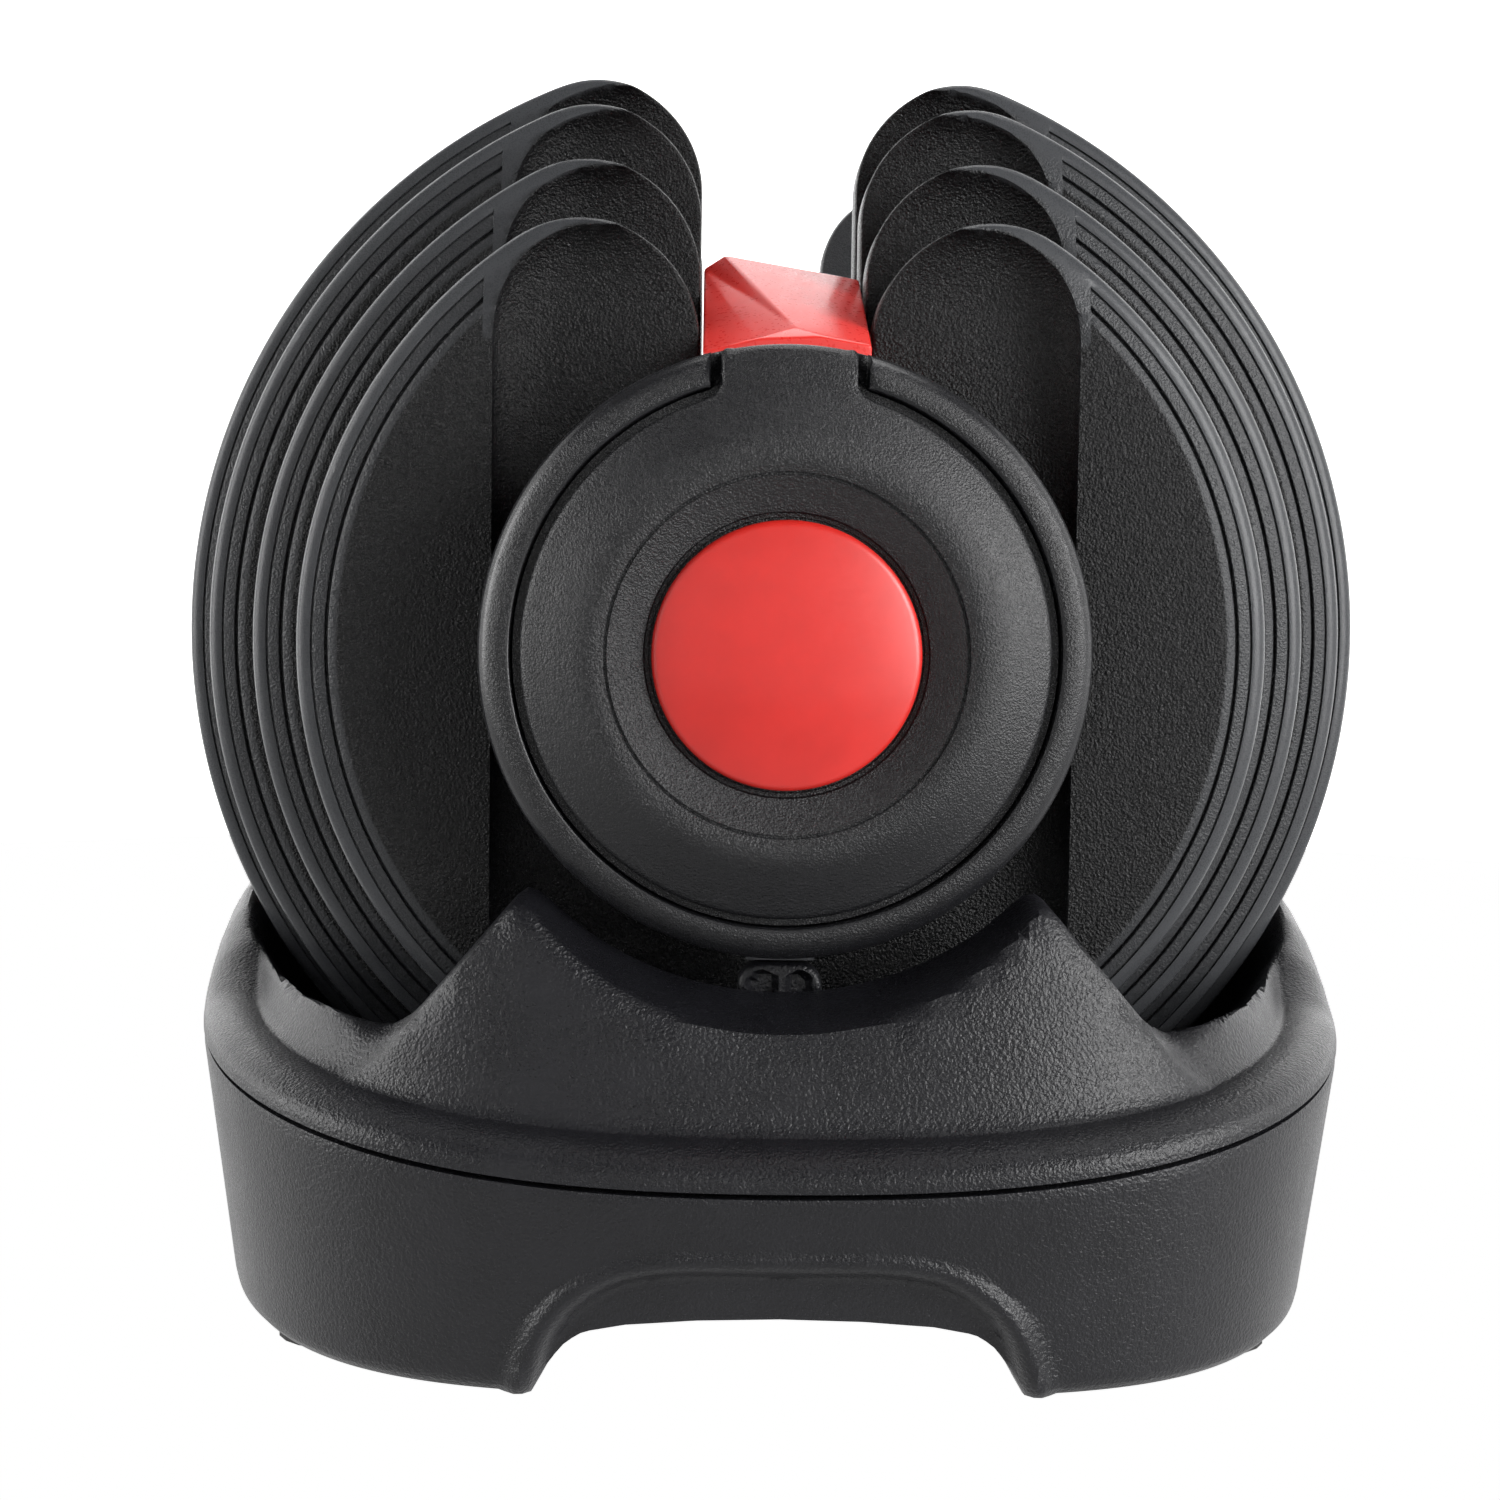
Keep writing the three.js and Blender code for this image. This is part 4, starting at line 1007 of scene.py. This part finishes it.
def even_turns(count):
    """Angles that step evenly along the cradle's edge."""
    fine = np.linspace(0, 2 * math.pi, 20001)
    x, y = plan_points(fine, 0)
    run = np.concatenate([[0], np.cumsum(np.hypot(np.diff(x), np.diff(y)))])
    return np.interp(np.linspace(0, run[-1], count + 1)[:-1], run, fine)


def seam_height(x):
    return SEAM_LOW + SEAM_RISE * np.clip(np.abs(x) / TRAY_HALF_X, 0, 1) ** SEAM_POWER


def soft_min(a, b, blend):
    share = np.clip(0.5 + 0.5 * (b - a) / blend, 0, 1)
    return b + (a - b) * share - blend * share * (1 - share)


def soft_max(a, b, blend):
    return -soft_min(-a, -b, blend)


def deck_height(x, y, inset):
    """Top of the cradle: a rolled edge up to a ridge, then a slope up to the deck round the pockets."""
    low = seam_height(x) + SEAM_GAP
    ridge = soft_max(seam_height(x) + END_RISE, np.interp(np.abs(y), *zip(*RIDGE)), 4.0)
    share = np.clip(inset / ROLL_WIDTH, 0, 1)
    rolled = low + (ridge - low) * (0.12 + 0.88 * np.sqrt(1 - (1 - share) ** 2))
    inner = np.interp(np.abs(y), *zip(*SHOULDER))
    t = np.clip((inset - ROLL_WIDTH + 0.6) / 5.5, 0, 1)
    return rolled + np.maximum(inner - rolled, 0) * t * t * (3 - 2 * t)


POCKET_STEPS = []                  # far end of each pocket along Y, and its radius


def find_pockets():
    for index in range(1, 5):
        _, high = box_mm(f"plate_rear_{index}")
        POCKET_STEPS.append((high[1] + (3.5 if index == 1 else 0.5), high[0] + POCKET_CLEAR))
    low, _ = box_mm("plate_rear_4")
    POCKET_STEPS.append((low[1] - 3.5, 0.0))


def pocket_height(x, y):
    """Floor of the pockets that hold the plates; very high where there is none."""
    floor = np.full(np.shape(x), 400.0)
    ay = np.abs(y)
    for (far, radius), (near, _) in zip(POCKET_STEPS, POCKET_STEPS[1:]):
        here = (ay < far) & (ay >= near) & (np.abs(x) < radius)
        depth = AXIS_Z - np.sqrt(np.maximum(radius ** 2 - x ** 2, 0))
        depth = depth - edge_round(np.clip(ay - near, 0, 9), 0.9) * (near > 60)
        floor = np.where(here, depth, floor)
    radius = np.interp(ay, *zip(*MOUTH))
    bowl = AXIS_Z - np.sqrt(np.maximum(radius ** 2 - x ** 2, 0))
    bowl = soft_max(bowl, np.full(np.shape(x), MOUTH_LEDGE), 2.0)
    in_bowl = (ay > 59) & (ay < 141.2) & (np.abs(x) < radius)
    return np.where(in_bowl, np.minimum(floor, bowl), floor)


def bay_height(x, y):
    """The open bay under the grip."""
    wall = BAY_FLOOR + (np.abs(x) - BAY_HALF_X) / BAY_FLARE
    floor = soft_max(wall, np.full(np.shape(x), BAY_FLOOR), 5.0)
    return np.where(np.abs(y) < BAY_HALF_Y, floor, 400.0)


def block_height(x, y, inset):
    """The block under the cap: two peaks, with a round valley that slopes down to the front."""
    ax, ay = np.abs(x), np.abs(y)
    radius = VALLEY_RADIUS + (ay - BLOCK_BACK[0][1]) * VALLEY_SPREAD
    valley = AXIS_Z - np.sqrt(np.maximum(radius ** 2 - ax ** 2, 1.0))
    slope = (BLOCK_PEAK_Z - BLOCK_FOOT_Z) / (BLOCK_FOOT_X - BLOCK_PEAK_X)
    outer = BLOCK_PEAK_Z - (ax - BLOCK_PEAK_X) * slope
    top = soft_min(np.where(ax < BLOCK_PEAK_X + 8, valley, 400.0), outer, 5.0)
    face = seam_height(x) + END_RISE + (inset - ROLL_WIDTH) / FACE_RUN
    block = soft_min(top, face, 1.8)
    back = np.interp(ax, *zip(*BLOCK_BACK))
    return np.where(ay > back, block, -50.0)


def cover_height(x, y, inset):
    """Top surface of the cradle's cover."""
    top = soft_max(deck_height(x, y, inset), block_height(x, y, inset), 4.5)
    gap = (np.abs(y) > POCKET_STEPS[0][0]) & (np.abs(x) < 30) & (np.abs(y) < 143.5)
    top = np.where(gap, np.minimum(top, 50.0), top)
    top = soft_min(top, bay_height(x, y), 1.6)
    return soft_min(top, pocket_height(x, y), MOUTH_ROUND)


def grid_lines(values, walls):
    """Grid lines on both sides of the middle, with close lines at each wall."""
    for wall in walls:
        values = [v for v in values if abs(v - wall) > 1.0]
        values += [wall - 0.9, wall - 0.12, wall + 0.12, wall + 0.5, wall + 0.9]
    values = sorted(values)
    return np.array([-v for v in values[::-1] if v > 0] + values)


def cover_grid(outline):
    """Points and triangles inside the innermost ring of the cover, with closer lines where it is steep."""
    walls = [far for far, _ in POCKET_STEPS] + [BAY_HALF_Y, MOUTH[-1][0], BLOCK_BACK[0][1]]
    steep_x = 62.0                 # the pockets' sides are steep from here out
    fine_x = 84.0                  # and the pockets' mouth runs almost along Y from here out
    xs = list(np.arange(0, steep_x, 1.55))
    xs += list(np.arange(steep_x, fine_x, 0.8))
    xs += list(np.arange(fine_x, TRAY_HALF_X, 0.4))
    xs = grid_lines(xs, [])
    ys = grid_lines(list(np.arange(0, TRAY_HALF_Y, 1.45)), walls)
    grid = np.stack(np.meshgrid(xs, ys), axis=-1).reshape(-1, 2)
    near, inside = distance_to(outline, grid)
    coords = [Vector(p) for p in outline] + [Vector(p) for p in grid[inside & (near > 0.7)]]
    count = len(outline)
    edges = [(i, (i + 1) % count) for i in range(count)]
    result = geometry.delaunay_2d_cdt(coords, edges, [], 1, 1e-5, False)
    return np.array([tuple(v) for v in result[0]]), [list(f) for f in result[2]]


def cover_plan():
    """The cover seen from above: X, Y, distance in from its edge, faces, and its outermost ring."""
    turns = even_turns(620)
    insets = (0.0, 0.12, 0.45, 1.0, 1.8, 2.8, 4.0, 4.9, 5.6, *np.arange(6.2, 11.2, 0.4), 11.4)
    rings = [plan_points(turns, inset) for inset in insets]
    outline = list(zip(*rings[-1]))
    inner, faces = cover_grid(outline)
    inner_near, _ = distance_to(outline, inner)
    count, start = len(outline), len(inner)
    x = np.concatenate([inner[:, 0]] + [ring[0] for ring in rings[:-1]])
    y = np.concatenate([inner[:, 1]] + [ring[1] for ring in rings[:-1]])
    inset = np.concatenate([inner_near + insets[-1]] + [np.full(count, v) for v in insets[:-1]])
    ids = [list(range(start + k * count, start + (k + 1) * count)) for k in range(len(insets) - 1)]
    ids.append(list(range(count)))
    for outer_ring, inner_ring in zip(ids, ids[1:]):
        faces += band(outer_ring, inner_ring)
    return x, y, inset, faces, ids[0]


def cover_under(top, x, inset):
    """Underside of the cover: a skin, with a rim that reaches down inside the base."""
    seam = seam_height(x) + SEAM_GAP
    under = np.where(inset < 4.5, np.maximum(top - COVER_SKIN, seam), top - COVER_SKIN)
    plug = (inset > 5.0) & (inset < 7.5)
    under = np.where(plug, np.minimum(under, seam - PLUG_DEPTH), under)
    return np.minimum(under, top - 0.3)


def build_cover():
    x, y, inset, faces, edge = cover_plan()
    top = cover_height(x, y, inset)
    under = cover_under(top, x, inset)
    total = len(x)
    points = [*zip(x, y, top), *zip(x, y, under)]
    shapes = faces + [[total + i for i in reversed(face)] for face in faces]
    for here, after in zip(edge, edge[1:] + edge[:1]):
        shapes.append([after, here, total + here, total + after])
    make_piece("cradle_cover", points, shapes, TRAY_PLASTIC, "tray",
               ["tray_cover", "pocket_liner_front", "pocket_liner_rear"], 40)


def arch_shape(points):
    """A closed outline of an arch from the points of its right half."""
    left = [(-x, z) for x, z in points[:-1]]
    return [(points[0][0], -8.0)] + [tuple(p) for p in points] + left[::-1] + [(-points[0][0], -8.0)]


def arch_relief(x, z):
    """How far the end walls stand out of their plain surface beside and above the hand opening."""
    near, inside = distance_to(arch_shape(ARCH_OUTER), np.stack([x, z], axis=1))
    depth = np.where(inside, near, -near)
    width = np.interp(z, (0, 12, 18, 22), (4.4, 4.0, 3.0, 2.4))
    share = np.clip(depth / width, 0, 1)
    height = np.interp(z, (0, 12, 18, 22), (1.9, 1.7, 1.0, 0.6))
    bead = height * np.sin(math.pi * share) ** 0.8
    recess = -2.2 * np.clip((depth - width) / 1.2, 0, 1)
    return np.where(depth > 0, np.where(depth < width, bead, recess), 0.0)


def base_bottom(edge_x, edge_y):
    """Height of the wall's lower edge, which rises over each hand opening."""
    opening_x, opening_z = zip(*ARCH_OPENING[::-1])
    over = (np.abs(edge_y) > END_START_Y) & (np.abs(edge_x) < opening_x[-1])
    arch = np.interp(np.abs(edge_x), opening_x, opening_z)
    return np.maximum(np.where(over, arch, TRAY_FLOOR), TRAY_FLOOR)


def base_ring(turns, edge, z, inset, outside):
    """One line round the wall, on its outside or on its inside."""
    stand = arch_relief(edge[0], z)
    if not outside:
        stand = np.minimum(stand, 0)
    stand = np.where(np.abs(edge[1]) > END_START_Y, stand, 0)
    x, y = plan_points(turns, inset)
    return x, y + np.sign(edge[1]) * stand, z


def base_rings():
    """Lines up the outside of the wall, and then down its inside."""
    turns = even_turns(720)
    edge = plan_points(turns, 0)
    bottom, top = base_bottom(*edge), seam_height(edge[0])
    rows = 30
    outer, inner = [], []
    for row in range(rows + 1):
        share = row / rows
        z = bottom + (top - bottom) * share
        lean = TRAY_DRAFT * (top - z) / top
        foot = np.clip((TRAY_FLOOR + 2.0 - z) / 2.0, 0, 1) ** 2 * 1.2
        lip = np.clip((share - 0.965) / 0.035, 0, 1) ** 2 * 0.25
        outer.append(base_ring(turns, edge, z, lean + foot + lip, True))
        if row % 3 == 0:
            inner.append(base_ring(turns, edge, z, lean + TRAY_WALL, False))
    return outer + inner[::-1]


def build_base():
    """The wall below the seam, with its draft, its turned-in foot and the arched opening at each end."""
    rings = base_rings()
    points = [point for ring in rings for point in zip(*ring)]
    count = len(rings[0][0])
    ids = [list(range(r * count, (r + 1) * count)) for r in range(len(rings))]
    shapes = []
    for ring, following in zip(ids, ids[1:] + ids[:1]):
        shapes += band(ring, following)
    parts = Parts()
    parts.add(points, shapes)
    for sign in (-1, 1):
        parts.add(*base_flange(sign))
    make_piece("cradle_base", parts.points, parts.faces, TRAY_PLASTIC, "tray", ["tray_base"],
               40)


def base_flange(sign):
    """The turned-in floor of one long side, which carries the feet, between the two hand openings."""
    turns = np.linspace(-math.pi / 2, math.pi / 2, 361)
    x, y = plan_points(turns, TRAY_DRAFT + 2.2)
    keep = x > FLANGE_START_X
    outline = list(zip(x[keep], y[keep]))
    inner, along = FLANGE_INNER_X, FLANGE_HALF_Y
    outline += [(FLANGE_START_X, along + 1), (inner, along), (inner, -along), (FLANGE_START_X, -along - 1)]
    count = len(outline)
    points = [(sign * a, b, z) for z in (TRAY_FLOOR, TRAY_FLOOR + FLANGE_THICK) for a, b in outline]
    low_ring, high_ring = list(range(count)), list(range(count, 2 * count))
    faces = [low_ring, high_ring, *band(low_ring, high_ring)]
    return points, faces


def build_post(side, direction):
    """The post that lifts the lock: a rounded rib with a thinner rib behind it."""
    low, high = box_mm(f"unlock_post_{side}")
    half = high[0]
    near, far = sorted((abs(low[1]), abs(high[1])))
    centre_z = high[2] - 3.6
    outline = [(half, low[2]), (half, centre_z)]
    outline += arc((half - 3.6, centre_z), 3.6, 0, math.pi / 2, 0.5)[1:]
    outline += arc((-half + 3.6, centre_z), 3.6, math.pi / 2, math.pi, 0.5)
    outline += [(-half, low[2])]
    outline = outline[::-1]
    flat, faces = relief(outline, [], 1.0, 0.2, (0.2, 0.5, 0.9))
    distance, _ = distance_to(outline, flat)
    rib = np.where(np.abs(flat[:, 0]) < 1.0, 0.0, 1.0)
    height = far - edge_round(distance, 0.8) - 1.6 * rib * np.clip((distance - 1.3) / 0.4, 0, 1)
    points, shapes = relief_body(flat, faces, height, near, direction, 0.4)
    make_piece(f"unlock_post_{side}_rib", points, shapes, TRAY_PLASTIC, "tray", [f"unlock_post_{side}"],
               35)


# ---------------------------------------------------------------- nodes that keep their own shape
def finish_frame_nodes():
    """Give every node that still shows its finished material."""
    kept = {}
    for side, _ in SIDES:
        kept[f"spine_bar_{side}"] = PLATE_STEEL
        kept[f"end_bracket_{side}"] = PLATE_STEEL
        kept[f"rod_nut_{side}"] = ROD_STEEL
        kept[f"detent_wheel_{side}"] = PLATE_STEEL
        kept[f"lock_slider_{side}"] = INNER_PLASTIC
        kept[f"lock_spring_{side}"] = ROD_STEEL
        for index in range(1, 5):
            kept[f"selector_disc_{side}_{index}"] = INNER_PLASTIC
        for place in ("left", "right"):
            kept[f"foot_{side}_{place}"] = FOOT_RUBBER
            kept[f"cover_screw_{side}_{place}"] = PLATE_STEEL
    kept["centre_rod"] = ROD_STEEL
    kept["selector_tube"] = ROD_STEEL
    for name, material in kept.items():
        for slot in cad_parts[name].material_slots:
            slot.material = material


# ---------------------------------------------------------------- camera, floor and light


def add_camera():
    yaw, pitch, roll = (math.radians(v) for v in (CAMERA_YAW, CAMERA_PITCH, CAMERA_ROLL))
    ahead = Vector((math.sin(yaw) * math.cos(pitch), math.cos(yaw) * math.cos(pitch), math.sin(pitch)))
    level = Vector((math.cos(yaw), -math.sin(yaw), 0))
    above = level.cross(ahead)
    right = math.cos(roll) * level + math.sin(roll) * above
    up = -math.sin(roll) * level + math.cos(roll) * above
    data = bpy.data.cameras.new("camera")
    data.lens = CAMERA_LENS
    data.sensor_width = 36.0
    data.clip_start = 0.01
    data.clip_end = 20.0
    camera = bpy.data.objects.new("camera", data)
    turn = Matrix((right, up, -ahead)).transposed().to_4x4()
    camera.matrix_world = Matrix.Translation(Vector(CAMERA_PLACE) * MM) @ turn
    bpy.context.scene.collection.objects.link(camera)
    bpy.context.scene.camera = camera


def stage_material():
    """White paper that glows a little, less behind the camera than behind the object."""
    shader = Shader("white_paper")
    grain = shader.noise(40.0, 3.0)
    paper = shader.mix(grain, (0.86, 0.86, 0.86, 1), (0.9, 0.9, 0.9, 1))
    shader.feed(paper, "Base Color")
    shader.put("Roughness", 0.9)
    shader.put("Specular IOR Level", 0.1)
    split = shader.add("ShaderNodeSeparateXYZ")
    shader.join(shader.position, split.inputs[0])
    glow = shader.ramp(split.outputs["Y"], STAGE_DARK_Y, STAGE_BRIGHT_Y, STAGE_DIM, STAGE_GLOW)
    shader.put("Emission Color", (1, 1, 1, 1))
    shader.feed(glow, "Emission Strength")
    return shader.material


def add_stage():
    """A round white floor that curves up into a wall all round."""
    profile = [(0.0, 0.0), (0.6, 0.0), (1.2, 0.0), (STAGE_RADIUS - STAGE_CURVE, 0.0)]
    for k in range(1, 13):
        turn = k / 12 * math.pi / 2
        reach = STAGE_RADIUS - STAGE_CURVE + STAGE_CURVE * math.sin(turn)
        profile.append((reach, STAGE_CURVE * (1 - math.cos(turn))))
    profile.append((STAGE_RADIUS, STAGE_WALL))
    segments = 96
    points = []
    for radius, z in profile[1:]:
        for k in range(segments):
            turn = 2 * math.pi * k / segments
            points.append((radius * math.cos(turn), radius * math.sin(turn), z))
    rings = [list(range(r * segments, (r + 1) * segments)) for r in range(len(profile) - 1)]
    faces = [rings[0]]
    for ring, following in zip(rings, rings[1:]):
        faces += band(ring, following)
    mesh = bpy.data.meshes.new("floor")
    mesh.from_pydata(points, [], faces)
    mesh.polygons.foreach_set("use_smooth", [True] * len(mesh.polygons))
    mesh.materials.append(stage_material())
    floor = bpy.data.objects.new("floor", mesh)
    bpy.context.scene.collection.objects.link(floor)


def add_lights():
    for name, place, aim, width, height, power in LIGHTS:
        data = bpy.data.lights.new(name, "AREA")
        data.shape = "RECTANGLE"
        data.size, data.size_y = width, height
        data.energy = power
        light = bpy.data.objects.new(name, data)
        light.location = place
        light.rotation_euler = (Vector(aim) - Vector(place)).to_track_quat("-Z", "Y").to_euler()
        bpy.context.scene.collection.objects.link(light)
    world = bpy.data.worlds.new("room")
    bpy.context.scene.world = world
    world.use_nodes = True
    world.node_tree.nodes["Background"].inputs["Color"].default_value = (1, 1, 1, 1)
    world.node_tree.nodes["Background"].inputs["Strength"].default_value = WORLD_GLOW
    bpy.context.scene.view_settings.view_transform = "Standard"


# ---------------------------------------------------------------- build everything
add_camera()
add_stage()
add_lights()
find_pockets()
build_plates()
for side_name, side_direction in SIDES:
    build_cap_ring(side_name, side_direction)
    build_cap_disc(side_name, side_direction)
    build_badge(side_name, side_direction)
    build_key(side_name, side_direction)
    build_guard(side_name, side_direction)
    build_post(side_name, side_direction)
build_grip()
build_cover()
build_base()
finish_frame_nodes()
